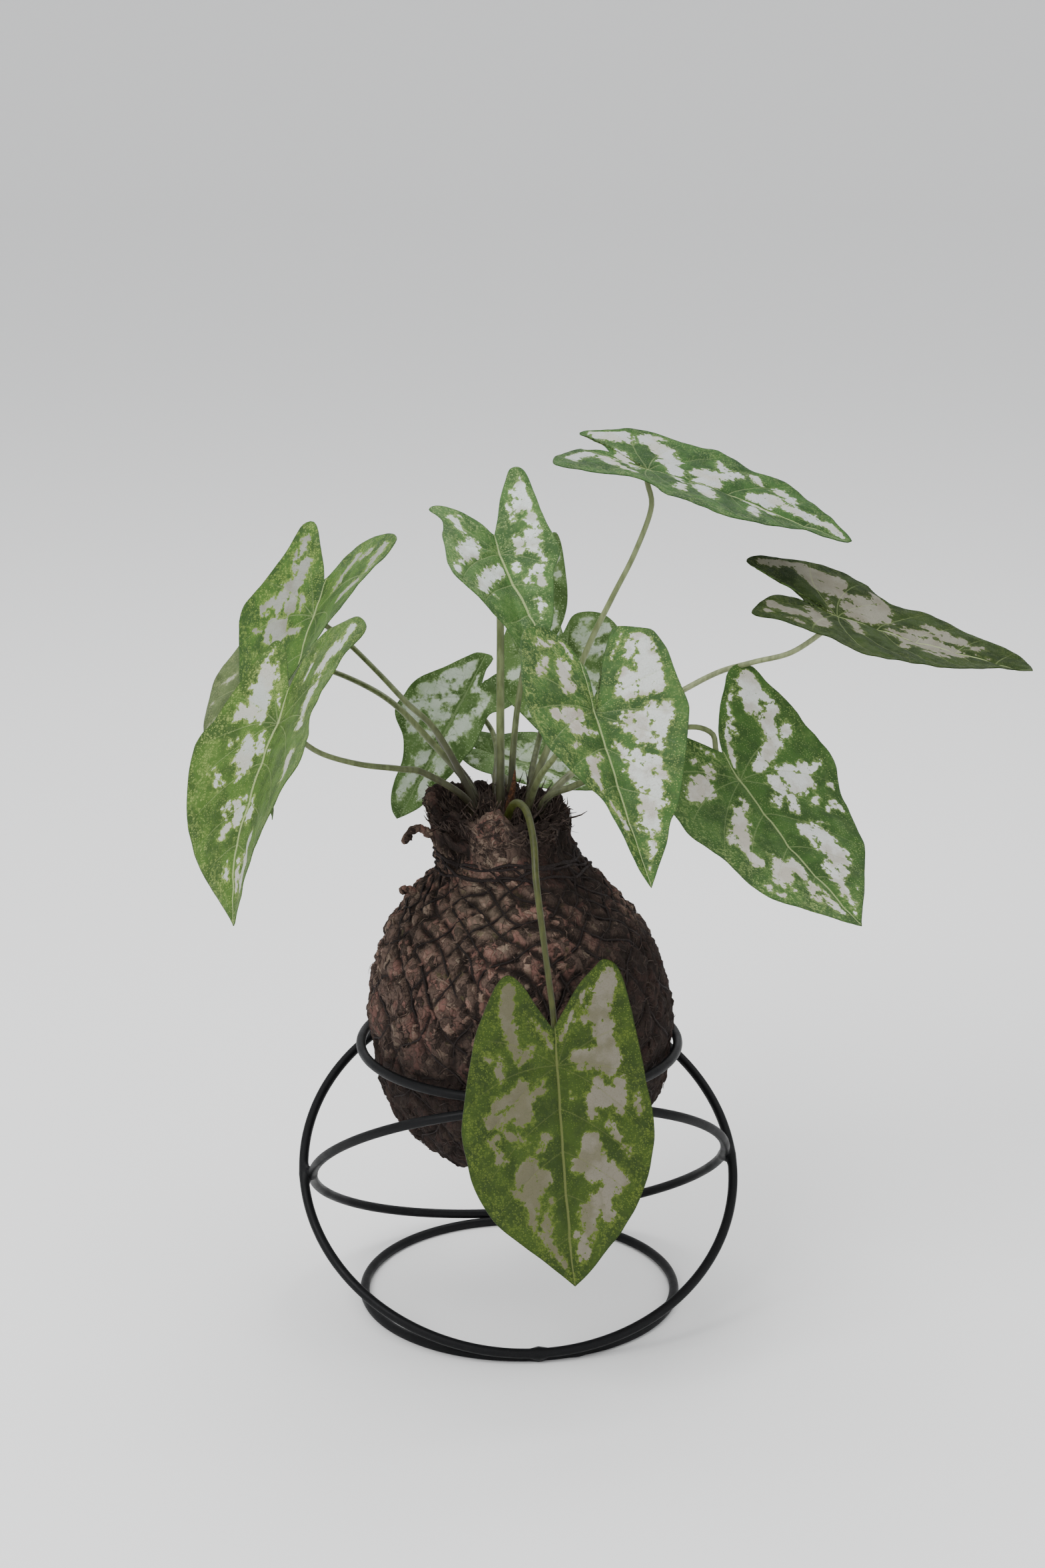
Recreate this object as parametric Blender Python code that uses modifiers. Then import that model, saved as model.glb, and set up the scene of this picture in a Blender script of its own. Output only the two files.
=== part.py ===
"""Caladium kokedama on a wire stand.

A soil ball wrapped in a coir cover and a diamond net stands in a cradle of
four welded wire rings. A caladium tuber sits in the neck of the ball and
carries thirteen leaves, each a blade on its own stalk.

Lengths are in millimetres in the tables and are scaled by MM. The model is
laid out about the axis of the stand and moved at the end so that the middle
of its underside is the origin. +Z is up and the front faces -Y.
"""

from math import atan2, cos, exp, hypot, pi, radians, sin, sqrt

import bmesh
import bpy
import numpy as np
from mathutils import Vector

MM = 0.001
GAP = 0.3

# ---------------------------------------------------------------- dimensions
STAND_TURN = 6.7
WIRE_R = 1.6
WIRE_SIDES = 10
RING_R = 60.0
BASE_Z = 1.6
CRADLE_Z = 103.0
HOOP_Z = 52.3
HOOP_TILT = 37.7
HOOP_DEEP = 79.0
HOOP_INNER_WIDE = 79.2
HOOP_OUTER_WIDE = 82.6
RING_STEPS = 60
BEAD_R = 2.6

COIR_THICK = 5.0
SOIL_GAP = 1.0
NET_CORD = 0.8
NET_LIFT = 1.32
NET_COLUMNS = 14
NET_ROWS = 5
BALL_STEPS = 28

TUBER = (-7.0, 0.0, 172.0)
TUBER_R = 19.0
TUBER_HALF = 9.0
SOIL_TOP = 173.0

BLADE_THICK = 0.8
BLADE_STEPS = 26
BLADE_RINGS = (0.0, 0.5, 1.0)

# Radius of the coir cover at each height, from the underside to the rim.
BALL_PROFILE = [
    (0.0, 55.0), (14.0, 55.8), (27.0, 59.0), (37.0, 64.0), (45.5, 72.0),
    (51.0, 81.0), (54.2, 91.0), (54.8, 99.0), (56.0, 107.0), (57.3, 113.0),
    (56.4, 125.0), (52.4, 141.0), (46.0, 153.0), (37.0, 164.0),
    (29.5, 172.0), (26.2, 179.0), (25.6, 187.0), (26.4, 195.5),
]
# Sideways lean of the cover's axis at each height.
BALL_LEAN = [(55.0, 1.0), (110.0, 0.8), (150.0, -1.5), (172.0, -2.5),
             (182.0, -6.5), (196.0, -8.5)]

# Half outline of a blade from its sinus round a basal lobe to its tip:
# (place along the midrib / length, place across / half width).
HALF_OUTLINE = [
    (-0.17, 0.0), (-0.27, 0.115), (-0.38, 0.25), (-0.47, 0.37),
    (-0.515, 0.50), (-0.49, 0.62), (-0.39, 0.735), (-0.24, 0.83),
    (-0.05, 0.92), (0.13, 0.99), (0.28, 1.0), (0.43, 0.93), (0.57, 0.78),
    (0.71, 0.57), (0.84, 0.33), (0.94, 0.12), (1.0, 0.0),
]


class Leaf:
    """One blade and the stalk that carries it.

    joint is where the stalk meets the blade; heading, droop and roll turn the
    blade (degrees); each pair is for the left and the right half of the blade
    seen from above with its tip ahead. path is the stalk's way from the crown
    to the joint and root its place on the crown.
    """

    def __init__(self, name, joint, size, turn, fold=(8, 8), curl=8, twist=0,
                 width=(1, 1), lobe=(1, 1), spread=(1.1, 1.1), taper=(1, 1),
                 waist=(0, 0), root=(0, 0), path=(), stalk=(1.5, 1.0)):
        self.name, self.joint, self.size, self.turn = name, joint, size, turn
        self.fold, self.curl, self.twist = fold, curl, twist
        self.width, self.lobe, self.spread = width, lobe, spread
        self.taper, self.waist, self.stalk = taper, waist, stalk
        self.root, self.path = root, path


LEAVES = [
    Leaf("left_front", (-83, -62, 243), (74, 35), (-113, 47, 15),
         fold=(28, 2), curl=18, twist=19, width=(1.1, 0.98),
         lobe=(0.93, 0.78), spread=(1.4, 0.65), taper=(1.2, 1.25),
         waist=(-0.2, 0.05), root=(-16, -7),
         path=[(-18, -8, 198), (-34, -16, 212), (-43, -24, 216),
               (-57, -36, 221), (-70, -50, 229)]),
    Leaf("left_rear", (-77, 20, 263), (78, 37), (-123, 55, 12),
         fold=(27, 3), curl=22, twist=40, width=(1.13, 1.0),
         lobe=(0.7, 0.85), spread=(1.5, 0.67), root=(-15, -1),
         path=[(-17, -1, 197), (-30, 3, 222), (-42, 8, 233),
               (-52, 15, 242), (-64, 23, 252)]),
    Leaf("top_middle", (-7, 8, 289), (54, 24), (-73, 37, 0),
         fold=(22, 27), curl=0, twist=-20, width=(0.88, 1.05),
         lobe=(1.35, 0.6), spread=(1.25, 1.6), taper=(0.8, 1.2),
         waist=(0.15, -0.2), root=(-7, 2), stalk=(1.7, 1.4),
         path=[(-7, 3, 200), (-7, 9, 234), (-7, 15, 264)]),
    Leaf("top_right", (47, 10, 320), (78, 33), (-10, 15, 2),
         fold=(12, 1), curl=8, lobe=(0.6, 0.7), spread=(0.67, 1.3),
         taper=(1.2, 1.2), waist=(0.17, -0.08), root=(1, 5),
         path=[(5, 6, 201), (15, 7, 226), (25, 8, 253), (34, 9, 272),
               (42, 10, 288), (48, 10, 305)]),
    Leaf("middle_right", (30, -74, 247), (67, 33), (-74, 40, 0),
         fold=(18, 27), curl=3, twist=-9, width=(0.88, 1.09),
         lobe=(1.05, 1.2), spread=(1.15, 0.95), taper=(0.67, 0.41),
         waist=(0.08, 0.06), root=(-2, -9),
         path=[(3, -11, 197), (7, -20, 211), (12, -30, 221),
               (20, -50, 236)]),
    Leaf("far_right", (115, -10, 270), (74, 35), (0, 20, 3),
         fold=(13, -4), curl=-7, twist=-8, lobe=(0.85, 0.86),
         spread=(1.0, 1.2), waist=(0.17, 0), root=(6, 1),
         path=[(11, 3, 198), (30, 5, 215), (47, 8, 229), (62, 9, 238),
               (74, 6, 245), (86, 0, 250), (99, -6, 255)]),
    Leaf("right_front", (79, -35, 215), (70, 38), (-44, 43, 2),
         fold=(6, -3), curl=-13, twist=-12, width=(1.13, 1.02),
         lobe=(1.2, 0.77), spread=(1.2, 1.2), taper=(1.0, 1.14),
         waist=(0.11, 0.17), root=(5, -6),
         path=[(9, -8, 199), (20, -11, 206), (32, -18, 214),
               (45, -23, 226), (60, -26, 232), (69, -27, 230),
               (71, -27, 222)]),
    Leaf("rear_middle", (6, 36, 274), (36, 12.5), (-95, 60, -5),
         root=(-3, 9),
         path=[(-3, 12, 200), (-1, 22, 225), (3, 33, 248),
               (6, 41, 264)]),
    Leaf("hanging_front", (13, -79, 123), (77, 36), (-75, 75, -5),
         fold=(1, 2), curl=-6, width=(0.94, 1.02), lobe=(0.86, 0.76),
         spread=(1.18, 0.84), taper=(1.18, 1.28), waist=(0, 0.09),
         root=(-8, -10), stalk=(1.5, 1.1),
         path=[(-3, -19, 200), (2, -30, 203), (5, -45, 196),
               (6, -56, 184), (8, -62, 169), (10, -66, 154),
               (12, -70, 139), (12.5, -74, 129)]),
    Leaf("rear_left", (-24, 46, 221), (48, 21), (-154, 58, -45),
         fold=(4, 4), curl=6, width=(0.78, 1.0), lobe=(1.0, 0.9),
         root=(-8, 12),
         path=[(-9, 18, 198), (-8.5, 30, 204), (-9, 40, 208.5),
               (-11, 46, 213), (-16, 50.5, 218)]),
    Leaf("rear_right", (18, 44, 243), (36, 24), (-100, 62, -10),
         fold=(4, 4), curl=6, root=(3, 11),
         path=[(4, 17, 199), (8, 35, 214), (12, 46, 230),
               (16, 50, 238)]),
    Leaf("far_left", (-99, 64, 236), (54, 27), (-158, 56, 0),
         root=(-14, 6),
         path=[(-17, 7, 198), (-34, 12, 218), (-48, 17, 231),
               (-64, 29, 237), (-80, 46, 238)]),
    Leaf("low_rear", (-10, 49, 202.5), (45, 14), (-6, 15, 40),
         fold=(4, 4), curl=6, width=(1.05, 0.72), lobe=(0.7, 0.7),
         root=(-3, 15), stalk=(1.4, 0.9),
         path=[(-4, 17, 197.5), (-5, 25, 199), (-7, 33, 197.5),
               (-9.5, 43, 193.5), (-10.5, 50.5, 196)]),
]

# Colour, roughness and metallic value of each material.
MATERIALS = {
    "black_paint": ((0.02, 0.022, 0.026), 0.42, 0.0),
    "coir": ((0.085, 0.05, 0.038), 0.95, 0.0),
    "soil": ((0.03, 0.022, 0.017), 0.95, 0.0),
    "tuber_skin": ((0.16, 0.09, 0.05), 0.85, 0.0),
    "net_cord": ((0.02, 0.016, 0.014), 0.8, 0.0),
    "stalk": ((0.24, 0.27, 0.12), 0.5, 0.0),
    "blade": ((0.12, 0.24, 0.06), 0.5, 0.0),
    "blade_rear": ((0.2, 0.32, 0.14), 0.55, 0.0),
    "dry_sheath": ((0.3, 0.19, 0.09), 0.8, 0.0),
}


# ------------------------------------------------------------------- helpers
def clear_scene():
    for obj in list(bpy.data.objects):
        bpy.data.objects.remove(obj, do_unlink=True)


def mm(point):
    return Vector([c * MM for c in point])


def lookup(table, z):
    """Straight-line value of a (height, value) table at a height."""
    return float(np.interp(z, [t[0] for t in table], [t[1] for t in table]))


def through(points, steps):
    """A smooth line through the points, with steps parts a span."""
    p = [Vector(q) for q in points]
    ends = [p[0] * 2 - p[1]] + p + [p[-1] * 2 - p[-2]]
    line = []
    for a, b, c, d in zip(ends, ends[1:], ends[2:], ends[3:]):
        for k in range(steps):
            t = k / steps
            line.append((b * 2 + (c - a) * t
                         + (a * 2 - b * 5 + c * 4 - d) * t * t
                         + (b * 3 - a - c * 3 + d) * t ** 3) * 0.5)
    line.append(p[-1])
    return line


def material(slot, name):
    colour, rough, metal = MATERIALS[slot]
    mat = bpy.data.materials.new(name)
    mat.use_nodes = True
    mat.diffuse_color = (*colour, 1.0)
    shader = mat.node_tree.nodes["Principled BSDF"]
    shader.inputs["Base Color"].default_value = (*colour, 1.0)
    shader.inputs["Roughness"].default_value = rough
    shader.inputs["Metallic"].default_value = metal
    return mat


def collection(name):
    coll = bpy.data.collections.new(name)
    bpy.context.scene.collection.children.link(coll)
    return coll


def add_object(name, data, coll, slot=None, parent=None):
    """A new object in a collection, with its own material and parent."""
    obj = bpy.data.objects.new(name, data)
    coll.objects.link(obj)
    if slot:
        data.materials.append(material(slot, slot + "_" + name))
    if parent:
        obj.parent = parent
    return obj


def add_cutter(name, data, coll, parent=None):
    obj = add_object(name, data, coll, parent=parent)
    obj.hide_render = True
    obj.display_type = "WIRE"
    return obj


def boolean(obj, other, operation):
    mod = obj.modifiers.new(operation.title() + "_" + other.name, "BOOLEAN")
    mod.operation = operation
    mod.object = other
    mod.solver = "EXACT"


def face_out(bm, centre):
    """Turn an open surface's faces away from its centre."""
    bmesh.ops.recalc_face_normals(bm, faces=bm.faces)
    middle = mm(centre)
    side = sum(f.normal.dot(f.calc_center_median() - middle)
               * f.calc_area() for f in bm.faces)
    if side < 0:
        bmesh.ops.reverse_faces(bm, faces=bm.faces)


def mesh_from(bm, name, closed=True):
    if closed:
        bmesh.ops.recalc_face_normals(bm, faces=bm.faces)
    data = bpy.data.meshes.new(name)
    bm.to_mesh(data)
    bm.free()
    data.shade_smooth()
    return data


def wire_curve(name, points, radius, cyclic=False, radii=None, res=2):
    """A round wire along points in millimetres."""
    curve = bpy.data.curves.new(name, "CURVE")
    curve.dimensions = "3D"
    curve.bevel_depth = radius * MM
    curve.bevel_resolution = res
    curve.use_fill_caps = not cyclic
    curve.render_resolution_u = 0
    spline = curve.splines.new("POLY")
    spline.points.add(len(points) - 1)
    for i, point in enumerate(points):
        spline.points[i].co = (*mm(point), 1.0)
        if radii:
            spline.points[i].radius = radii[i] / radius
    spline.use_cyclic_u = cyclic
    return curve


def curve_to_mesh(name, curve, coll):
    """The tube of a curve as a closed mesh, with its caps welded on."""
    holder = add_object(name + "_curve", curve, coll)
    bpy.context.view_layer.update()
    graph = bpy.context.evaluated_depsgraph_get()
    data = bpy.data.meshes.new_from_object(holder.evaluated_get(graph))
    bpy.data.objects.remove(holder, do_unlink=True)
    bm = bmesh.new()
    bm.from_mesh(data)
    bmesh.ops.remove_doubles(bm, verts=bm.verts, dist=0.00001)
    bmesh.ops.recalc_face_normals(bm, faces=bm.faces)
    bm.to_mesh(data)
    bm.free()
    data.shade_smooth()
    return data


# --------------------------------------------------------------------- stand
def hoop_points(wide, side):
    """A tilted hoop: side -1 is high at the front, +1 is high at the rear."""
    tilt = radians(HOOP_TILT)
    points = []
    for k in range(RING_STEPS):
        a = 2 * pi * k / RING_STEPS
        deep = HOOP_DEEP * sin(a)
        points.append((wide * cos(a), deep * cos(tilt),
                       HOOP_Z + side * deep * sin(tilt)))
    return points


def ring_mesh(name, radius, z, wire, flat=False):
    """A level ring; a flat one has a narrow facet on its underside."""
    bm = bmesh.new()
    verts = []
    reach = wire / cos(pi / WIRE_SIDES) if flat else wire
    for k in range(WIRE_SIDES):
        a = 2 * pi * (k + 0.5) / WIRE_SIDES - pi / 2
        verts.append(bm.verts.new(mm((radius + reach * cos(a), 0.0,
                                      z + reach * sin(a)))))
    edges = [bm.edges.new((verts[k - 1], verts[k]))
             for k in range(WIRE_SIDES)]
    bmesh.ops.spin(bm, geom=verts + edges, cent=(0, 0, 0), axis=(0, 0, 1),
                   angle=2 * pi, steps=RING_STEPS, use_merge=True,
                   use_duplicate=False)
    bmesh.ops.remove_doubles(bm, verts=bm.verts, dist=0.00001)
    return mesh_from(bm, name)


def bead(name, spot, radius, coll, parent):
    """A ball of weld metal, a cutter that is joined on by a union."""
    bm = bmesh.new()
    bmesh.ops.create_uvsphere(bm, u_segments=12, v_segments=8,
                              radius=radius * MM)
    obj = add_cutter(name, mesh_from(bm, name), coll, parent)
    obj.location = mm(spot)
    return obj


def build_stand(parts, cutters, root):
    turn = bpy.data.objects.new("stand_axis", None)
    parts.objects.link(turn)
    turn.parent = root
    turn.rotation_euler = (0, 0, radians(STAND_TURN))

    inner = curve_to_mesh("hoop_inner", wire_curve(
        "hoop_inner", hoop_points(HOOP_INNER_WIDE, -1), WIRE_R, True),
        cutters)
    outer = curve_to_mesh("hoop_outer", wire_curve(
        "hoop_outer", hoop_points(HOOP_OUTER_WIDE, 1), WIRE_R, True),
        cutters)
    hoop_inner = add_object("hoop_inner", inner, parts, "black_paint", turn)
    add_object("hoop_outer", outer, parts, "black_paint", turn)
    base = add_object("base_ring", ring_mesh("base_ring", RING_R, BASE_Z,
                                             WIRE_R, True),
                      parts, "black_paint", turn)
    cradle = add_object("cradle_ring", ring_mesh("cradle_ring", RING_R,
                                                 CRADLE_Z, WIRE_R),
                        parts, "black_paint", turn)

    # Cutters a gap wider than the hoops keep the weld beads off them.
    room = WIRE_R + GAP
    clear_inner = add_cutter("clear_inner", curve_to_mesh(
        "clear_inner", wire_curve("clear_inner", hoop_points(
            HOOP_INNER_WIDE, -1), room, True), cutters), cutters, turn)
    clear_outer = add_cutter("clear_outer", curve_to_mesh(
        "clear_outer", wire_curve("clear_outer", hoop_points(
            HOOP_OUTER_WIDE, 1), room, True), cutters), cutters, turn)

    # Each hoop meets a ring at the front or the rear.
    near = HOOP_DEEP * cos(radians(HOOP_TILT))
    low = HOOP_Z - HOOP_DEEP * sin(radians(HOOP_TILT))
    high = HOOP_Z + HOOP_DEEP * sin(radians(HOOP_TILT))
    for ring, level, hoop_level in ((base, BASE_Z, low),
                                    (cradle, CRADLE_Z, high)):
        for side, word in ((-1, "front"), (1, "rear")):
            spot = (0.0, side * (RING_R + near) / 2,
                    (level + hoop_level) / 2 + (0.3 if level < 50 else 0))
            boolean(ring, bead("bead_%s_%s" % (ring.name, word), spot,
                               BEAD_R, cutters, turn), "UNION")
        boolean(ring, clear_inner, "DIFFERENCE")
        boolean(ring, clear_outer, "DIFFERENCE")

    # The butt weld that closes the base ring.
    butt = bead("bead_butt", (RING_R * cos(radians(-76)),
                              RING_R * sin(radians(-76)), BASE_Z + 0.6),
                2.0, cutters, turn)
    boolean(base, butt, "UNION")

    # The hoops are welded to each other where they cross at the sides.
    for side, word in ((-1, "left"), (1, "right")):
        spot = (side * (HOOP_INNER_WIDE + HOOP_OUTER_WIDE) / 2, 0.0, HOOP_Z)
        boolean(hoop_inner, bead("bead_hoop_" + word, spot, BEAD_R, cutters,
                                 turn), "UNION")
    boolean(hoop_inner, clear_outer, "DIFFERENCE")


# ---------------------------------------------------------------------- ball
def spun(profile, steps):
    """A turned surface from its (radius, height) profile."""
    bm = bmesh.new()
    verts = [bm.verts.new(mm((r, 0.0, z))) for r, z in profile]
    edges = [bm.edges.new(pair) for pair in zip(verts, verts[1:])]
    bmesh.ops.spin(bm, geom=verts + edges, cent=(0, 0, 0), axis=(0, 0, 1),
                   angle=2 * pi, steps=steps, use_merge=True,
                   use_duplicate=False)
    bmesh.ops.remove_doubles(bm, verts=bm.verts, dist=0.00001)
    return bm


def lean(bm):
    """Lean the turned surface along BALL_LEAN."""
    for vert in bm.verts:
        vert.co.x += lookup(BALL_LEAN, vert.co.z / MM) * MM


def radius_at(z):
    return lookup([(h, r) for r, h in BALL_PROFILE], z)


def profile_offset(out):
    """BALL_PROFILE moved outwards square to itself."""
    line = []
    last = len(BALL_PROFILE) - 1
    for k, (r, z) in enumerate(BALL_PROFILE):
        r0, z0 = BALL_PROFILE[max(k - 1, 0)]
        r1, z1 = BALL_PROFILE[min(k + 1, last)]
        span = hypot(r1 - r0, z1 - z0)
        if k == 0:
            line.append((0.0, z - out))
            continue
        line.append((r + out * (z1 - z0) / span, z - out * (r1 - r0) / span))
    return line


def build_ball(parts, cutters, root):
    bm = spun(BALL_PROFILE, BALL_STEPS)
    lean(bm)
    face_out(bm, (0, 0, 110))
    cover = add_object("coir_cover", mesh_from(bm, "coir_cover", False),
                       parts, "coir", root)
    shell = cover.modifiers.new("Wall", "SOLIDIFY")
    shell.thickness = COIR_THICK * MM
    shell.offset = -1.0
    shell.use_even_offset = True

    inner = profile_offset(-(COIR_THICK + SOIL_GAP))
    core = [(r, z) for r, z in inner if z < SOIL_TOP - 3.0]
    core.append((radius_at(SOIL_TOP) - COIR_THICK - SOIL_GAP - 0.8,
                 SOIL_TOP))
    core.append((0.0, SOIL_TOP + 0.6))
    core[0] = (0.0, core[0][1])
    bm = spun(core, BALL_STEPS)
    lean(bm)
    soil = add_object("soil_ball", mesh_from(bm, "soil_ball"), parts,
                      "soil", root)

    bm = bmesh.new()
    bmesh.ops.create_uvsphere(bm, u_segments=24, v_segments=14, radius=1.0)
    bmesh.ops.scale(bm, verts=bm.verts,
                    vec=(TUBER_R * MM, TUBER_R * MM, TUBER_HALF * MM))
    tuber = add_object("tuber", mesh_from(bm, "tuber"), parts, "tuber_skin",
                       root)
    tuber.location = mm(TUBER)

    bm = bmesh.new()
    bmesh.ops.create_uvsphere(bm, u_segments=24, v_segments=14, radius=1.0)
    bmesh.ops.scale(bm, verts=bm.verts,
                    vec=((TUBER_R + 0.5) * MM, (TUBER_R + 0.5) * MM,
                         (TUBER_HALF + 0.5) * MM))
    hollow = add_cutter("tuber_hollow", mesh_from(bm, "tuber_hollow"),
                        cutters, root)
    hollow.location = mm(TUBER)
    boolean(soil, hollow, "DIFFERENCE")


def build_net(parts, root):
    """A diamond net with knots, one cord thick, drawn in round the neck."""
    line = profile_offset(NET_LIFT + 0.1)
    lengths = [0.0]
    for (r0, z0), (r1, z1) in zip(line, line[1:]):
        lengths.append(lengths[-1] + hypot(r1 - r0, z1 - z0))
    first, last = 16.0, lengths[-1] - 4.0
    rows = []
    for k in range(NET_ROWS + 1):
        at = first + (last - first) * k / NET_ROWS
        rows.append((float(np.interp(at, lengths, [p[0] for p in line])),
                     float(np.interp(at, lengths, [p[1] for p in line]))))
    bm = spun(rows, NET_COLUMNS)
    grid = list(bm.edges)
    bmesh.ops.poke(bm, faces=bm.faces)
    inner = [e for e in grid if e.is_valid and not e.is_boundary]
    bmesh.ops.dissolve_edges(bm, edges=inner, use_verts=False)
    # The middles of the cells go out to the cover's surface.
    heights = [p[1] for p in line]
    radii = [p[0] for p in line]
    for vert in bm.verts:
        z = vert.co.z / MM
        flat = hypot(vert.co.x, vert.co.y) / MM
        want = float(np.interp(z, heights, radii))
        vert.co.x *= want / flat
        vert.co.y *= want / flat
    lean(bm)
    face_out(bm, (0, 0, 110))
    net = add_object("net", mesh_from(bm, "net", False), parts, "net_cord",
                     root)
    cords = net.modifiers.new("Cords", "WIREFRAME")
    cords.thickness = NET_CORD * MM
    cords.offset = 1.0
    cords.use_even_offset = False
    cords.use_boundary = True
    cords.use_replace = True


def build_tie(parts, cutters, root):
    """The cord that gathers the net below the neck."""
    z = 178.0
    reach = radius_at(z) + NET_LIFT + NET_CORD + 2.2
    points = [(reach * cos(2 * pi * k / 48) + lookup(BALL_LEAN, z),
               reach * sin(2 * pi * k / 48), z) for k in range(48)]
    data = curve_to_mesh("neck_tie", wire_curve("neck_tie", points, 0.7,
                                                True, res=1), cutters)
    add_object("neck_tie", data, parts, "net_cord", root)


# --------------------------------------------------------------------- plant
def frame(leaf):
    """Axes of a blade: ahead, to its left and up out of its face."""
    head, droop, roll = (radians(a) for a in leaf.turn)
    ahead = Vector((cos(head) * cos(droop), sin(head) * cos(droop),
                    -sin(droop)))
    left = Vector((-sin(head), cos(head), 0.0))
    up = ahead.cross(left)
    return (ahead, left * cos(roll) + up * sin(roll),
            up * cos(roll) - left * sin(roll))


def outline(leaf, steps):
    """Closed outline of the flat blade, evenly spaced from its sinus."""
    length, half = leaf.size
    sides = []
    for k, sign in ((0, 1), (1, -1)):
        line = []
        for p in through([(s, t, 0.0) for s, t in HALF_OUTLINE], 6):
            s, t = p.x, p.y * leaf.width[k]
            tip = (min(max((s - 0.15) / 0.55, 0.0), 1.0)
                   * min(max((1.0 - s) / 0.1, 0.0), 1.0))
            t *= 1 + (leaf.taper[k] - 1) * tip
            t *= 1 - leaf.waist[k] * exp(-((s - 0.42) / 0.14) ** 2)
            rear = min(max((0.05 - s) / 0.45, 0.0), 1.0)
            t *= 1 + (leaf.spread[k] - 1) * rear
            if s < -0.17:
                s = -0.17 + (s + 0.17) * leaf.lobe[k]
            line.append((s * length, sign * t * half))
        sides.append(line)
    loop = sides[0] + sides[1][-2:0:-1]
    lengths = [0.0]
    for a, b in zip(loop, loop[1:] + loop[:1]):
        lengths.append(lengths[-1] + hypot(b[0] - a[0], b[1] - a[1]))
    loop.append(loop[0])
    at = np.linspace(0.0, lengths[-1], steps + 1)[:-1]
    return list(zip(np.interp(at, lengths, [p[0] for p in loop]),
                    np.interp(at, lengths, [p[1] for p in loop])))


def arc(rate, run):
    """Place on an arc that starts level and bends down."""
    if abs(rate) < 1e-6:
        return run, 0.0
    return sin(rate * run) / rate, -(1 - cos(rate * run)) / rate


def surface(leaf, along, across, axes):
    """The bent blade's point for a place on the flat blade."""
    length = leaf.size[0]
    rate = radians(leaf.curl) / length
    run, drop = arc(rate, max(along, 0.0))
    if along < 0:
        run = along
    nose = rate * max(along, 0.0)
    fold = radians(leaf.fold[0] if across >= 0 else leaf.fold[1])
    lift, side = abs(across) * sin(fold), across * cos(fold)
    twist = radians(leaf.twist) * along / length
    side, lift = (side * cos(twist) - lift * sin(twist),
                  side * sin(twist) + lift * cos(twist))
    ahead, left, up = axes
    return (Vector(leaf.joint) + ahead * (run + sin(nose) * lift)
            + left * side + up * (drop + cos(nose) * lift))


def build_blade(leaf, parts, root, slot):
    """A round disc, drawn out to the leaf's outline and then bent."""
    bm = bmesh.new()
    verts = [bm.verts.new((r, 0, 0)) for r in BLADE_RINGS]
    edges = [bm.edges.new(pair) for pair in zip(verts, verts[1:])]
    bmesh.ops.spin(bm, geom=verts + edges, cent=(0, 0, 0), axis=(0, 0, 1),
                   angle=2 * pi, steps=BLADE_STEPS, use_merge=True,
                   use_duplicate=False)
    bmesh.ops.remove_doubles(bm, verts=bm.verts, dist=0.00001)
    loop = outline(leaf, BLADE_STEPS)
    axes = frame(leaf)
    for vert in bm.verts:
        reach = hypot(vert.co.x, vert.co.y)
        step = round(atan2(vert.co.y, vert.co.x) / (2 * pi) * BLADE_STEPS)
        s, t = loop[step % BLADE_STEPS]
        vert.co = surface(leaf, s * reach, t * reach, axes) * MM
    bmesh.ops.recalc_face_normals(bm, faces=bm.faces)
    if sum((f.normal.dot(axes[2]) for f in bm.faces)) < 0:
        bmesh.ops.reverse_faces(bm, faces=bm.faces)
    data = bpy.data.meshes.new("blade_" + leaf.name)
    bm.to_mesh(data)
    bm.free()
    data.shade_smooth()
    blade = add_object("blade_" + leaf.name, data, parts, slot, root)
    skin = blade.modifiers.new("Thickness", "SOLIDIFY")
    skin.thickness = BLADE_THICK * MM
    skin.offset = -1.0


def crown_point(spot, radius):
    """Where a stalk stands on the tuber, a gap above its skin."""
    out = hypot(spot[0] - TUBER[0], spot[1] - TUBER[1]) / TUBER_R
    rise = sqrt(1 - out * out)
    slope = TUBER_HALF / TUBER_R * out / rise
    return (spot[0], spot[1],
            TUBER[2] + TUBER_HALF * rise + GAP + slope * radius)


def build_stalk(leaf, parts, root):
    """A stalk that thins from the crown to the underside of its blade."""
    wide, thin = leaf.stalk
    up = frame(leaf)[2]
    points = [crown_point(leaf.root, wide)] + list(leaf.path)
    arrive = (Vector(leaf.joint) - Vector(points[-1])).normalized()
    tilt = sqrt(max(0.0, 1 - arrive.dot(up) ** 2))
    end = Vector(leaf.joint) - up * (BLADE_THICK + GAP + 0.1 + thin * tilt)
    line = through(points + [end], 3)
    radii = [wide + (thin - wide) * min(1.0, 1.4 * k / (len(line) - 1))
             for k in range(len(line))]
    curve = wire_curve("stalk_" + leaf.name, line, wide, radii=radii, res=1)
    add_object("stalk_" + leaf.name, curve, parts, "stalk", root)


def build_old_stalk(parts, root):
    """The stump of a stalk whose leaf has gone."""
    line = through([crown_point((-12, 9), 1.5), (-14.5, 11, 190),
                    (-18, 14, 199), (-25, 18.5, 208), (-31, 22, 217)], 3)
    radii = [1.5 - 0.3 * k / (len(line) - 1) for k in range(len(line))]
    add_object("old_stalk", wire_curve("old_stalk", line, 1.5, radii=radii,
                                       res=1),
               parts, "dry_sheath", root)


def build_sheath(parts, root):
    """The dry, papery sheath left by an old leaf."""
    line = through([(-5.0, -4.0, 181.6), (-4.0, -5.0, 193),
                    (-2.5, -6.0, 203), (-1.5, -6.5, 211)], 3)
    radii = [1.6 - 1.2 * (k / (len(line) - 1)) ** 1.5
             for k in range(len(line))]
    add_object("dry_sheath", wire_curve("dry_sheath", line, 1.6,
                                        radii=radii, res=1),
               parts, "dry_sheath", root)


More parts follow.
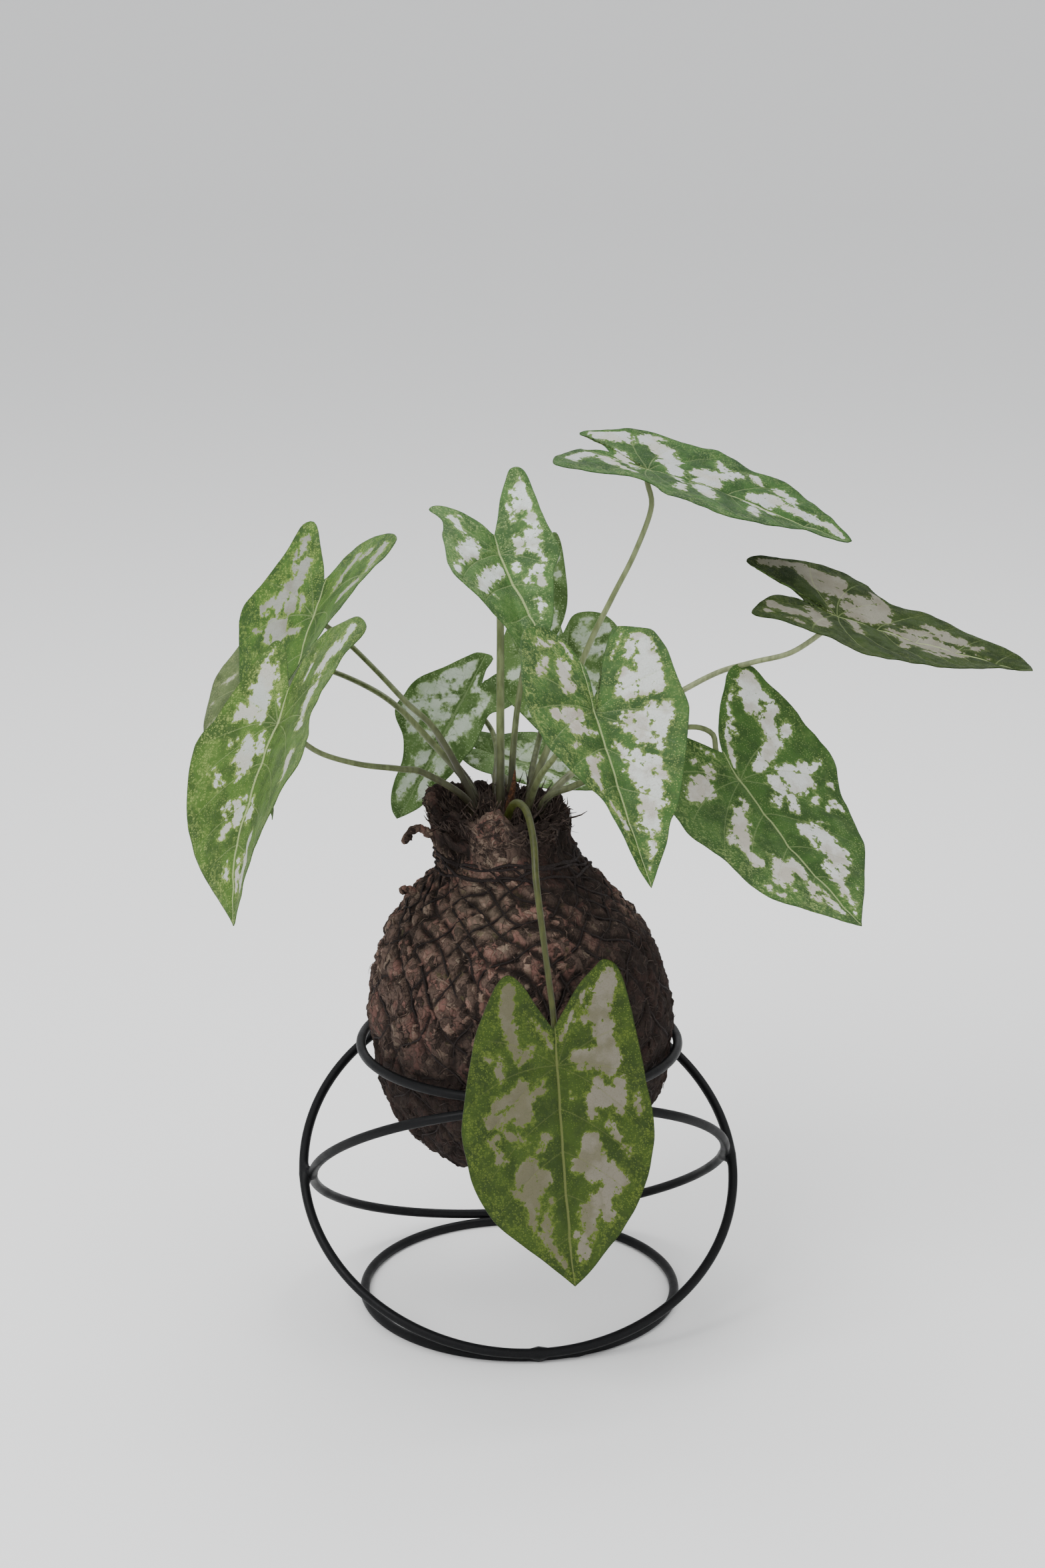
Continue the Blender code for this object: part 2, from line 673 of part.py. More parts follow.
def ground_centre(root, parts):
    """Move the root so the middle of the underside is the origin."""
    bpy.context.view_layer.update()
    graph = bpy.context.evaluated_depsgraph_get()
    corners = []
    for obj in parts.objects:
        if obj.type in {"MESH", "CURVE"}:
            shown = obj.evaluated_get(graph)
            data = shown.to_mesh()
            corners += [obj.matrix_world @ v.co for v in data.vertices]
            shown.to_mesh_clear()
    low = [min(c[k] for c in corners) for k in range(3)]
    high = [max(c[k] for c in corners) for k in range(3)]
    root.location = (-(low[0] + high[0]) / 2, -(low[1] + high[1]) / 2,
                     -low[2])
    bpy.context.view_layer.update()


def main():
    clear_scene()
    parts = collection("caladium_kokedama")
    cutters = collection("cutters")
    root = bpy.data.objects.new("kokedama_root", None)
    parts.objects.link(root)
    build_stand(parts, cutters, root)
    build_ball(parts, cutters, root)
    build_net(parts, root)
    build_tie(parts, cutters, root)
    for leaf in LEAVES:
        rear = leaf.name.startswith(("rear", "low", "far_left"))
        build_blade(leaf, parts, root, "blade_rear" if rear else "blade")
        build_stalk(leaf, parts, root)
    build_sheath(parts, root)
    build_old_stalk(parts, root)
    ground_centre(root, parts)


main()
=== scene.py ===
"""Looks of the caladium kokedama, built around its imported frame.

A soil ball in a coir wrap and a diamond net stands in a cradle of black
welded wire and carries thirteen caladium leaves on thin stalks. Every piece
takes the place of the plain solid of the same name. The tables hold
millimetres about the axis of the stand, and Shop.finish moves a mesh into the
frame, in metres.
"""

from __future__ import annotations

import logging
from dataclasses import dataclass, replace
from enum import Enum
from math import cos, pi, radians, sin

import bmesh
import bpy
import numpy as np
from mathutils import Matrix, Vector, noise

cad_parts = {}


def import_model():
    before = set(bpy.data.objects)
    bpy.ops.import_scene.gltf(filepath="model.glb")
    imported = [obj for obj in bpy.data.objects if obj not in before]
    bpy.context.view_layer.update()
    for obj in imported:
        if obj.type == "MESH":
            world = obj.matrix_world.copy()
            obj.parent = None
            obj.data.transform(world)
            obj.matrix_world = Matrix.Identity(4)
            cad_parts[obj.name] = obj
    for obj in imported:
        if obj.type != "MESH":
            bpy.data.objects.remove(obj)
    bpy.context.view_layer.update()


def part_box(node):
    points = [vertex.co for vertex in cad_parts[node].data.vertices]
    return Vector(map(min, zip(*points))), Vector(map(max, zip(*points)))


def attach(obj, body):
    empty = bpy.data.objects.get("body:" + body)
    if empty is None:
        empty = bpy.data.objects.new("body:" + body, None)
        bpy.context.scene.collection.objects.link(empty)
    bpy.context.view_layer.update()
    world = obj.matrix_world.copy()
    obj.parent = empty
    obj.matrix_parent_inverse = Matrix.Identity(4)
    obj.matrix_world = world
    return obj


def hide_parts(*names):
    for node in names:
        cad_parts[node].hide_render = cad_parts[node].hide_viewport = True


LOG = logging.getLogger("kokedama")
MM = 0.001
WELD = 0.0001
UV_SPAN = 200.0
UV_SHIFT = 60.0
TUBER_AT = (-7.0, 0.0, 171.0)
TUBER_SIZE = (19.0, 19.0, 9.0)

Point = tuple[float, float, float]
Flat = tuple[float, float]
Edge = tuple[Flat, ...]
Marks = tuple[tuple[float, ...], ...]
Colour = tuple[float, float, float]
Rows = np.ndarray
Shape = bmesh.types.BMesh
Mesh = bpy.types.Mesh
Thing = bpy.types.Object
Socket = bpy.types.NodeSocket
Material = bpy.types.Material


def srgb(red: float, green: float, blue: float) -> Colour:
    """Linear colour of a display colour.

    Args:
        red, green, blue: display values from 0 to 255.

    Returns:
        The colour that a shader takes.
    """
    def straighten(value: float) -> float:
        """Linear value of one display value."""
        share = value / 255.0
        if share <= 0.04045:
            return share / 12.92
        return ((share + 0.055) / 1.055) ** 2.4
    return straighten(red), straighten(green), straighten(blue)


def smooth_line(points: list, steps: int) -> Rows:
    """A smooth line through points.

    Args:
        points: the points to pass through, of any dimension.
        steps: parts in each span.

    Returns:
        One row for each point of the line.
    """
    p = np.array(points, float)
    p = np.vstack([p[0] * 2 - p[1], p, p[-1] * 2 - p[-2]])
    t = (np.arange(steps) / steps)[:, None]
    spans = []
    for a, b, c, d in zip(p, p[1:], p[2:], p[3:]):
        spans.append(0.5 * (2 * b + (c - a) * t
                            + (2 * a - 5 * b + 4 * c - d) * t ** 2
                            + (3 * b - a - 3 * c + d) * t ** 3))
    return np.vstack(spans + [p[-2][None]])


def run_of(line: Rows) -> Rows:
    """Length along a line at each of its points."""
    return np.concatenate([[0], np.cumsum(np.linalg.norm(
        np.diff(line, axis=0), axis=1))])


def even_line(line: Rows, count: int) -> Rows:
    """The line with count points, evenly spaced along it."""
    run = run_of(line)
    at = np.linspace(0, run[-1], count)
    return np.stack([np.interp(at, run, line[:, k])
                     for k in range(line.shape[1])], -1)


def ease(value: Rows, low: float, high: float) -> Rows:
    """Smooth rise from 0 at low to 1 at high."""
    t = np.clip((value - low) / (high - low), 0, 1)
    return t * t * (3 - 2 * t)


def bell(value: Rows, wide: float) -> Rows:
    """Falloff from 1 at zero, with a given half width."""
    return np.exp(-(value / wide) ** 2)


def fractal(points: Rows, size: float, octaves: int = 3,
            shift: float = 0.0) -> Rows:
    """Layered noise at each point.

    Args:
        points: rows of millimetres.
        size: length of the largest bumps in millimetres.
        octaves: number of layers.
        shift: offset that gives each use its own pattern.

    Returns:
        Values of about -1 to 1.
    """
    return np.array([noise.fractal(Vector(p) / size + Vector((shift,) * 3),
                                   1.0, 2.0, octaves) for p in points])


def link(name: str, data: bpy.types.ID) -> Thing:
    """A new object in the scene."""
    thing = bpy.data.objects.new(name, data)
    bpy.context.scene.collection.objects.link(thing)
    return thing


# ------------------------------------------------------------------ materials
class Nodes:
    """A material's nodes, with short calls that add and join them."""

    def __init__(self, name: str) -> None:
        """Start a material with one Principled shader."""
        self.material = bpy.data.materials.new(name)
        self.material.use_nodes = True
        self.tree = self.material.node_tree
        self.shader = self.tree.nodes["Principled BSDF"]

    def put(self, socket: Socket, value: object) -> None:
        """Join or set one input."""
        if isinstance(value, Socket):
            self.tree.links.new(value, socket)
        elif isinstance(value, tuple) and len(value) == 3 \
                and socket.type == "RGBA":
            socket.default_value = (*value, 1.0)
        else:
            socket.default_value = value

    def add(self, kind: str, inputs: dict | None = None,
            **settings: object) -> bpy.types.Node:
        """Add a node.

        Args:
            kind: the node's type without its ShaderNode prefix.
            inputs: values or sockets by input name or number.
            settings: the node's own settings.

        Returns:
            The node.
        """
        node = self.tree.nodes.new("ShaderNode" + kind)
        for key, value in settings.items():
            setattr(node, key, value)
        for key, value in (inputs or {}).items():
            self.put(node.inputs[key], value)
        return node

    def math(self, operation: str, *values: object,
             clamp: bool = False) -> Socket:
        """The result of one sum."""
        node = self.add("Math", dict(enumerate(values)),
                        operation=operation, use_clamp=clamp)
        return node.outputs[0]

    def plus(self, first: object, second: object) -> Socket:
        """The sum of two numbers."""
        return self.math("ADD", first, second)

    def times(self, first: object, second: object) -> Socket:
        """The product of two numbers."""
        return self.math("MULTIPLY", first, second)

    def rise(self, value: object, low: float, high: float, start: float = 0.0,
             end: float = 1.0) -> Socket:
        """Smooth change from start to end as value goes from low to high."""
        node = self.add("MapRange", {
            "Value": value, "From Min": low, "From Max": high,
            "To Min": start, "To Max": end}, interpolation_type="SMOOTHSTEP")
        return node.outputs["Result"]

    def mix(self, share: object, first: object, second: object,
            blend: str = "MIX") -> Socket:
        """Mix of two colours."""
        node = self.add("Mix", data_type="RGBA", blend_type=blend)
        self.put(node.inputs[0], share)
        self.put(node.inputs[6], first)
        self.put(node.inputs[7], second)
        return node.outputs[2]

    def noise(self, where: object, scale: float, detail: float = 2.0,
              rough: float = 0.5,
              space: str = "3D") -> Socket:
        """Noise of 0 to 1."""
        node = self.add("TexNoise", {
            "Vector": where, "Scale": scale, "Detail": detail,
            "Roughness": rough}, noise_dimensions=space)
        return node.outputs[0]

    def wave(self, where: object, scale: float, height: float,
             detail: float = 2.0) -> Socket:
        """Flat noise about 0, with a given height."""
        return self.math("MULTIPLY_ADD", self.noise(
            where, scale, detail, 0.55, "2D"), height, -0.5 * height)

    def cells(self, where: object, scale: float, feature: str = "F1",
              space: str = "3D") -> Socket:
        """Distance in a pattern of cells."""
        node = self.add("TexVoronoi", {"Vector": where, "Scale": scale},
                        feature=feature, voronoi_dimensions=space)
        return node.outputs["Distance"]

    def lot(self, where: object, scale: float, space: str = "2D") -> Socket:
        """A number of 0 to 1 drawn for each cell of a pattern."""
        node = self.add("TexVoronoi", {"Vector": where, "Scale": scale},
                        voronoi_dimensions=space)
        return self.add("SeparateColor", {
            "Color": node.outputs["Color"]}).outputs[0]

    def fact(self, name: str) -> Socket:
        """A number that the mesh carries."""
        return self.add("Attribute", attribute_name=name).outputs["Fac"]

    def place(self) -> Socket:
        """Object coordinates in millimetres."""
        spot = self.add("TexCoord").outputs["Object"]
        node = self.add("Mapping", {"Vector": spot,
                                    "Scale": (1000.0, 1000.0, 1000.0)})
        return node.outputs["Vector"]

    def flat(self, shift: Point) -> Socket:
        """Millimetres on the unrolled surface, moved by shift."""
        spot = self.add("TexCoord").outputs["UV"]
        node = self.add("Mapping", {
            "Vector": spot, "Scale": (UV_SPAN, UV_SPAN, 1.0),
            "Location": shift})
        return node.outputs["Vector"]

    def stretch(self, where: object, scale: Point) -> Socket:
        """Coordinates scaled by their own factor each way."""
        return self.add("Mapping", {"Vector": where,
                                    "Scale": scale}).outputs["Vector"]

    def dress(self, colour: object, rough: object, height: object = None,
              depth: float = 0.1, **values: float) -> Material:
        """Finish the shader.

        Args:
            colour: base colour.
            rough: roughness.
            height: height for the bump in millimetres, if any.
            depth: millimetres that one unit of height stands for.
            values: plain values by the shader's input name, with _ for a
                space.

        Returns:
            The material.
        """
        self.put(self.shader.inputs["Base Color"], colour)
        self.put(self.shader.inputs["Roughness"], rough)
        for key, value in values.items():
            self.shader.inputs[key.replace("_", " ")].default_value = value
        if height is not None:
            bump = self.add("Bump", {"Height": height, "Strength": 1.0,
                                     "Distance": depth * MM})
            self.put(self.shader.inputs["Normal"], bump.outputs["Normal"])
        return self.material


@dataclass(frozen=True)
class LeafFinish:
    """Colours of a living blade and of its pale blotches."""

    deep: Colour = srgb(46, 74, 26)
    fresh: Colour = srgb(66, 99, 36)
    lime: Colour = srgb(136, 158, 76)
    pale: Colour = srgb(208, 212, 209)
    dusk: Colour = srgb(172, 170, 158)
    rib: Colour = srgb(152, 166, 112)
    lime_share: float = 0.55
    calm: float = 0.6
    right_dusk: float = 0.0
    ragged: float = 1.0
    shrink: float = 0.75
    soft: float = 0.16
    shred: float = 0.28
    web: float = 0.95
    rough: float = 0.46
    shine: float = 0.2

    def under(self) -> "LeafFinish":
        """The finish of the blade's lower face, paler and duller."""
        return replace(self, deep=srgb(66, 86, 46), fresh=srgb(84, 104, 58),
                       lime=srgb(120, 134, 80), pale=srgb(164, 166, 148),
                       dusk=srgb(144, 146, 124), rib=srgb(138, 150, 100),
                       rough=0.6)

    def border(self, n: Nodes, spot: object, edge: object, rib: object,
               side: object) -> Socket:
        """Depth inside the blotches, whose borders are torn and toothed.

        Args:
            n: the material's nodes.
            spot: place on the flat blade.
            edge, rib, side: distance from the edge, midrib and side vein.

        Returns:
            The depth in millimetres.
        """
        inside = n.math("SUBTRACT", n.fact("pale"), self.shrink)
        for scale, height in ((0.17, 4.0), (0.48, 3.8), (1.3, 1.1)):
            inside = n.plus(inside, n.wave(spot, scale, height * self.ragged))
        for scale, height in ((0.8, 1.15), (2.1, 0.4)):
            tooth = n.math("MULTIPLY_ADD", n.lot(spot, scale),
                           height * self.ragged, -0.5 * height * self.ragged)
            inside = n.plus(inside, tooth)
        inside = n.math("SUBTRACT", inside, n.rise(edge, 0.6, 3.0, 3.0, 0.0))
        inside = n.math("SUBTRACT", inside, n.rise(side, 0.1, 0.8, 0.6, 0.0))
        return n.math("SUBTRACT", inside, n.rise(rib, 0.5, 1.6, 2.0, 0.0))

    def ground(self, n: Nodes, spot: object, edge: object, off: object,
               inside: object, web: object) -> Socket:
        """Green ground, with lighter cells inside a dark network.

        Args:
            n: the material's nodes.
            spot: place on the flat blade.
            edge, off: distance from the edge and, signed, from the midrib.
            inside: depth inside the blotches.
            web: distance from the network's lines.

        Returns:
            The colour.
        """
        green = n.mix(n.rise(n.noise(spot, 0.09, 2.0, space="2D"), 0.36,
                             0.64), self.deep, self.fresh)
        drawn = n.plus(n.lot(spot, self.web), n.wave(spot, 0.13, 1.7, 3.0))
        margin = n.times(n.rise(edge, 3.0, 15.0, 1.0, 0.25),
                         n.rise(off, -7.0, 7.0, 1.0, self.calm))
        lime = n.times(n.times(n.rise(drawn, 0.3, 1.2),
                               n.rise(web, 0.02, 0.16)), margin)
        green = n.mix(n.times(lime, self.lime_share), green, self.lime)
        dot = n.times(n.rise(n.cells(spot, 1.05, "F1", "2D"), 0.14, 0.27,
                             1.0, 0.0),
                      n.rise(n.plus(n.lot(spot, 1.05), n.wave(
                          spot, 0.16, 2.0)), 0.5, 0.7))
        green = n.mix(n.times(dot, n.rise(edge, 0.8, 14.0, 0.7, 0.4)),
                      green, self.lime)
        halo = n.times(n.rise(inside, -1.6, 0.05, 0.0, 0.75),
                       n.rise(n.lot(spot, 1.5), 0.1, 0.7, 0.35, 1.0))
        green = n.mix(halo, green, self.lime)
        return n.mix(n.rise(n.noise(spot, 2.4, 3.0, 0.7, "2D"), 0.35,
                            0.6, 0.22, 0.0), green, self.deep)

    def blotches(self, n: Nodes, spot: object, off: object) -> Socket:
        """Pale parts, mottled, with fine green veins between their cells.

        Args:
            n: the material's nodes.
            spot: place on the flat blade.
            off: signed distance from the midrib.

        Returns:
            The colour.
        """
        dull = n.math("ADD", n.rise(
            n.noise(spot, 0.1, 3.0, space="2D"), 0.42, 0.66, 0.0, 0.8),
                      n.rise(off, -9.0, 3.0, self.right_dusk, 0.0), clamp=True)
        pale = n.mix(dull, self.pale, self.dusk)
        pale = n.mix(n.rise(n.noise(spot, 1.3, 3.0, 0.6, "2D"), 0.5,
                            0.78, 0.0, 0.4), pale, self.dusk)
        shred = n.times(n.rise(n.cells(
            spot, 0.42, "DISTANCE_TO_EDGE", "2D"), 0.0, 0.05, 1.0, 0.0),
            n.rise(n.noise(spot, 0.3, 2.0, space="2D"), 0.45, 0.6, 0.0,
                   self.shred))
        return n.mix(shred, pale, self.fresh)

    def veined(self, n: Nodes, colour: object, edge: object, rib: object,
               side: object) -> Socket:
        """The colour with the midrib, the side veins and the thin rim."""
        taper = n.rise(edge, 0.5, 12.0, 0.14, 0.44)
        middle = n.rise(n.math("DIVIDE", rib, taper), 0.7, 1.3, 0.8, 0.0)
        colour = n.mix(middle, colour, self.rib)
        twig = n.times(n.rise(side, 0.1, 0.34, 1.0, 0.0),
                       n.rise(edge, 2.0, 12.0, 0.05, 0.26))
        colour = n.mix(twig, colour, self.rib)
        return n.mix(n.rise(edge, 0.1, 0.7, 0.5, 0.0), colour, self.deep)

    def make(self, name: str, seed: float) -> Material:
        """The material of one face of a blade.

        Args:
            name: the material's name.
            seed: shift that gives the blade its own markings.

        Returns:
            The material.
        """
        n = Nodes(name)
        spot = n.flat((seed * 31.7, seed * 17.3, 0.0))
        edge, off = n.fact("edge"), n.fact("rib")
        rib = n.math("ABSOLUTE", off)
        side = n.times(n.math("PINGPONG", n.fact("vein"), 0.5), n.fact("gap"))
        inside = self.border(n, spot, edge, rib, side)
        web = n.cells(spot, self.web, "DISTANCE_TO_EDGE", "2D")
        colour = n.mix(n.rise(inside, -0.6 * self.soft, 1.4 * self.soft),
                       self.ground(n, spot, edge, off, inside, web),
                       self.blotches(n, spot, off))
        colour = self.veined(n, colour, edge, rib, side)
        groove = n.plus(n.rise(rib, 0.1, 1.0, -0.8, 0.0),
                        n.rise(side, 0.05, 0.6, -0.4, 0.0))
        net = n.rise(web, 0.0, 0.14, -0.3, 0.0)
        height = n.plus(n.plus(groove, net), n.times(
            n.noise(spot, 2.0, 3.0, 0.6, "2D"), 0.3))
        rough = n.rise(n.noise(spot, 0.3, 3.0, space="2D"), 0.3, 0.7,
                       self.rough - 0.05, self.rough + 0.08)
        return n.dress(colour, rough, height, 0.22,
                       Specular_IOR_Level=self.shine)


@dataclass(frozen=True)
class StalkFinish:
    """Green stalk that turns brown where it leaves the tuber."""

    green: Colour = srgb(81, 91, 52)
    light: Colour = srgb(104, 114, 73)
    brown: Colour = srgb(46, 38, 30)
    brown_run: float = 60.0

    def make(self, name: str) -> Material:
        """The material of one stalk."""
        n = Nodes(name)
        spot = n.place()
        shade = n.noise(n.stretch(spot, (0.5, 0.5, 0.12)), 1.0, 3.0)
        colour = n.mix(n.rise(shade, 0.35, 0.65), self.green, self.light)
        foot = n.plus(n.fact("foot"), n.times(shade, 12.0))
        colour = n.mix(n.rise(foot, self.brown_run * 0.3, self.brown_run,
                              0.9, 0.0), colour, self.brown)
        fleck = n.rise(n.noise(spot, 2.6, 2.0), 0.62, 0.74, 0.0, 0.2)
        colour = n.mix(fleck, colour, self.brown)
        lines = n.noise(n.stretch(spot, (3.0, 3.0, 0.3)), 1.0, 2.0)
        return n.dress(colour, n.rise(shade, 0.3, 0.7, 0.38, 0.52), lines,
                       0.12, Specular_IOR_Level=0.4)


@dataclass(frozen=True)
class PaintFinish:
    """Satin black paint on wire."""

    black: Colour = (0.0055, 0.0057, 0.0064)
    worn: Colour = (0.018, 0.018, 0.018)

    def make(self, name: str) -> Material:
        """The material of one wire."""
        n = Nodes(name)
        spot = n.place()
        cloud = n.noise(spot, 0.12, 3.0)
        dust = n.rise(n.noise(spot, 1.6, 3.0, 0.7), 0.52, 0.8, 0.0, 0.5)
        colour = n.mix(dust, self.black, self.worn)
        peel = n.plus(n.noise(spot, 1.1, 2.0),
                      n.times(n.noise(spot, 5.0, 2.0), 0.3))
        return n.dress(colour, n.rise(cloud, 0.3, 0.7, 0.40, 0.52), peel,
                       0.05, Specular_IOR_Level=0.12)


@dataclass(frozen=True)
class CoirFinish:
    """Matted coir with reddish and straw-coloured clumps."""

    dark: Colour = srgb(37, 31, 29)
    brown: Colour = srgb(114, 95, 85)
    red: Colour = srgb(138, 101, 92)
    straw: Colour = srgb(172, 154, 134)
    moss: Colour = srgb(96, 94, 62)
    netted: bool = True

    def make(self, name: str) -> Material:
        """The material of the wrap or of its loose chips."""
        n = Nodes(name)
        spot = n.place()
        sway = n.add("TexNoise", {"Vector": spot, "Scale": 0.22,
                                  "Detail": 2.0}).outputs["Color"]
        lie = n.add("Mix", {"Factor": 0.55}, data_type="VECTOR",
                    factor_mode="UNIFORM")
        n.put(lie.inputs[4], spot)
        n.put(lie.inputs[5], n.add("VectorMath", {
            0: spot, 1: n.stretch(sway, (9.0, 9.0, 9.0))},
                                   operation="ADD").outputs[0])
        lie = n.stretch(lie.outputs[1], (0.42, 0.42, 0.24))
        draw = n.lot(lie, 1.0, "3D")
        gap = n.cells(lie, 1.0, "DISTANCE_TO_EDGE")
        grit = n.noise(spot, 1.7, 4.0, 0.72)
        tuft = n.noise(spot, 0.085, 2.0)
        draw = n.plus(draw, n.math("MULTIPLY_ADD", grit, 1.1, -0.55))
        colour = n.mix(n.rise(draw, -0.15, 0.5), self.dark, self.brown)
        colour = n.mix(n.times(n.rise(draw, 0.4, 0.62),
                               n.rise(tuft, 0.42, 0.56)), colour, self.red)
        colour = n.mix(n.rise(draw, 0.75, 1.1, 0.0, 0.7), colour, self.straw)
        fleck = n.rise(n.noise(spot, 0.19, 2.0), 0.66, 0.72, 0.0, 0.5)
        colour = n.mix(fleck, colour, self.moss)
        # Painted shade: darker in the crevices between the clumps.
        colour = n.mix(n.rise(gap, 0.0, 0.13, 0.5, 0.0), colour, self.dark)
        # The tone attribute: the coir's own lighter and darker parts, with
        # painted light and painted shade from Ball.tone.
        tone = n.fact("tone")
        colour = n.mix(n.rise(tone, 0.0, 1.0, 0.0, 0.6), colour, self.straw)
        colour = n.mix(n.rise(tone, -1.0, 0.0, 0.9, 0.0), colour, self.dark)
        if self.netted:
            # Painted shadow of the net cords: darker in a soft band beside
            # each cord; worn only varies its strength from patch to patch.
            worn = n.rise(n.noise(spot, 0.06, 2.0), 0.42, 0.58, 0.25, 0.85)
            near = n.rise(n.plus(n.fact("net"), n.math(
                "MULTIPLY_ADD", grit, 1.6, -0.8)), 0.5, 2.2, 1.0, 0.0)
            colour = n.mix(n.times(near, worn), colour, self.dark)
            # Painted shade where the wrap lies low: along the cords, in the
            # pleats and in hollows.
            colour = n.mix(n.rise(n.fact("raised"), -2.4, -0.4, 0.8, 0.0),
                           colour, self.dark)
        height = n.plus(n.rise(gap, 0.0, 0.4), n.times(grit, 1.1))
        return n.dress(colour, 0.95, height, 0.7, Specular_IOR_Level=0.12)


@dataclass(frozen=True)
class FibreFinish:
    """Loose coir fibres, each with its own shade of brown."""

    dark: Colour = srgb(50, 40, 36)
    light: Colour = srgb(134, 114, 100)

    def make(self, name: str) -> Material:
        """The material of the fibres."""
        n = Nodes(name)
        spot = n.place()
        shade = n.noise(spot, 0.4, 2.0)
        colour = n.mix(n.rise(shade, 0.42, 0.7), self.dark, self.light)
        # Darker where the tone attribute is low: the coir's own tone, with
        # painted shade from Ball.tone.
        colour = n.mix(n.rise(n.fact("tone"), -1.0, 0.1, 0.85, 0.0), colour,
                       self.dark)
        return n.dress(colour, 0.8, n.noise(spot, 4.0, 2.0), 0.05,
                       Specular_IOR_Level=0.25)


@dataclass(frozen=True)
class CordFinish:
    """Dark twisted net cord."""

    dark: Colour = srgb(38, 32, 31)
    grey: Colour = srgb(70, 60, 57)

    def make(self, name: str) -> Material:
        """The material of a cord."""
        n = Nodes(name)
        spot = n.place()
        fuzz = n.noise(spot, 2.0, 3.0, 0.7)
        colour = n.mix(n.rise(fuzz, 0.5, 0.75, 0.0, 0.7), self.dark, self.grey)
        return n.dress(colour, 0.85, fuzz, 0.3, Specular_IOR_Level=0.2)


@dataclass(frozen=True)
class EarthFinish:
    """Damp soil, or the corky skin of the tuber, or dry papery leaf."""

    dark: Colour = srgb(34, 27, 23)
    light: Colour = srgb(84, 66, 52)
    scale: float = 0.5
    rough: float = 0.92
    depth: float = 0.8

    def make(self, name: str) -> Material:
        """The material of one earthy piece."""
        n = Nodes(name)
        spot = n.place()
        clod = n.noise(spot, self.scale, 4.0, 0.65)
        grain = n.cells(spot, self.scale * 3.0)
        colour = n.mix(n.rise(clod, 0.4, 0.7), self.dark, self.light)
        colour = n.mix(n.rise(grain, 0.1, 0.6, 0.5, 0.0), colour, self.dark)
        return n.dress(colour, self.rough, n.plus(clod, grain),
                       self.depth, Specular_IOR_Level=0.2)


@dataclass(frozen=True)
class FloorFinish:
    """Pale matt floor."""

    tone: Colour = (0.92, 0.92, 0.92)

    def make(self, name: str) -> Material:
        """The material of the floor."""
        return Nodes(name).dress(self.tone, 0.9)


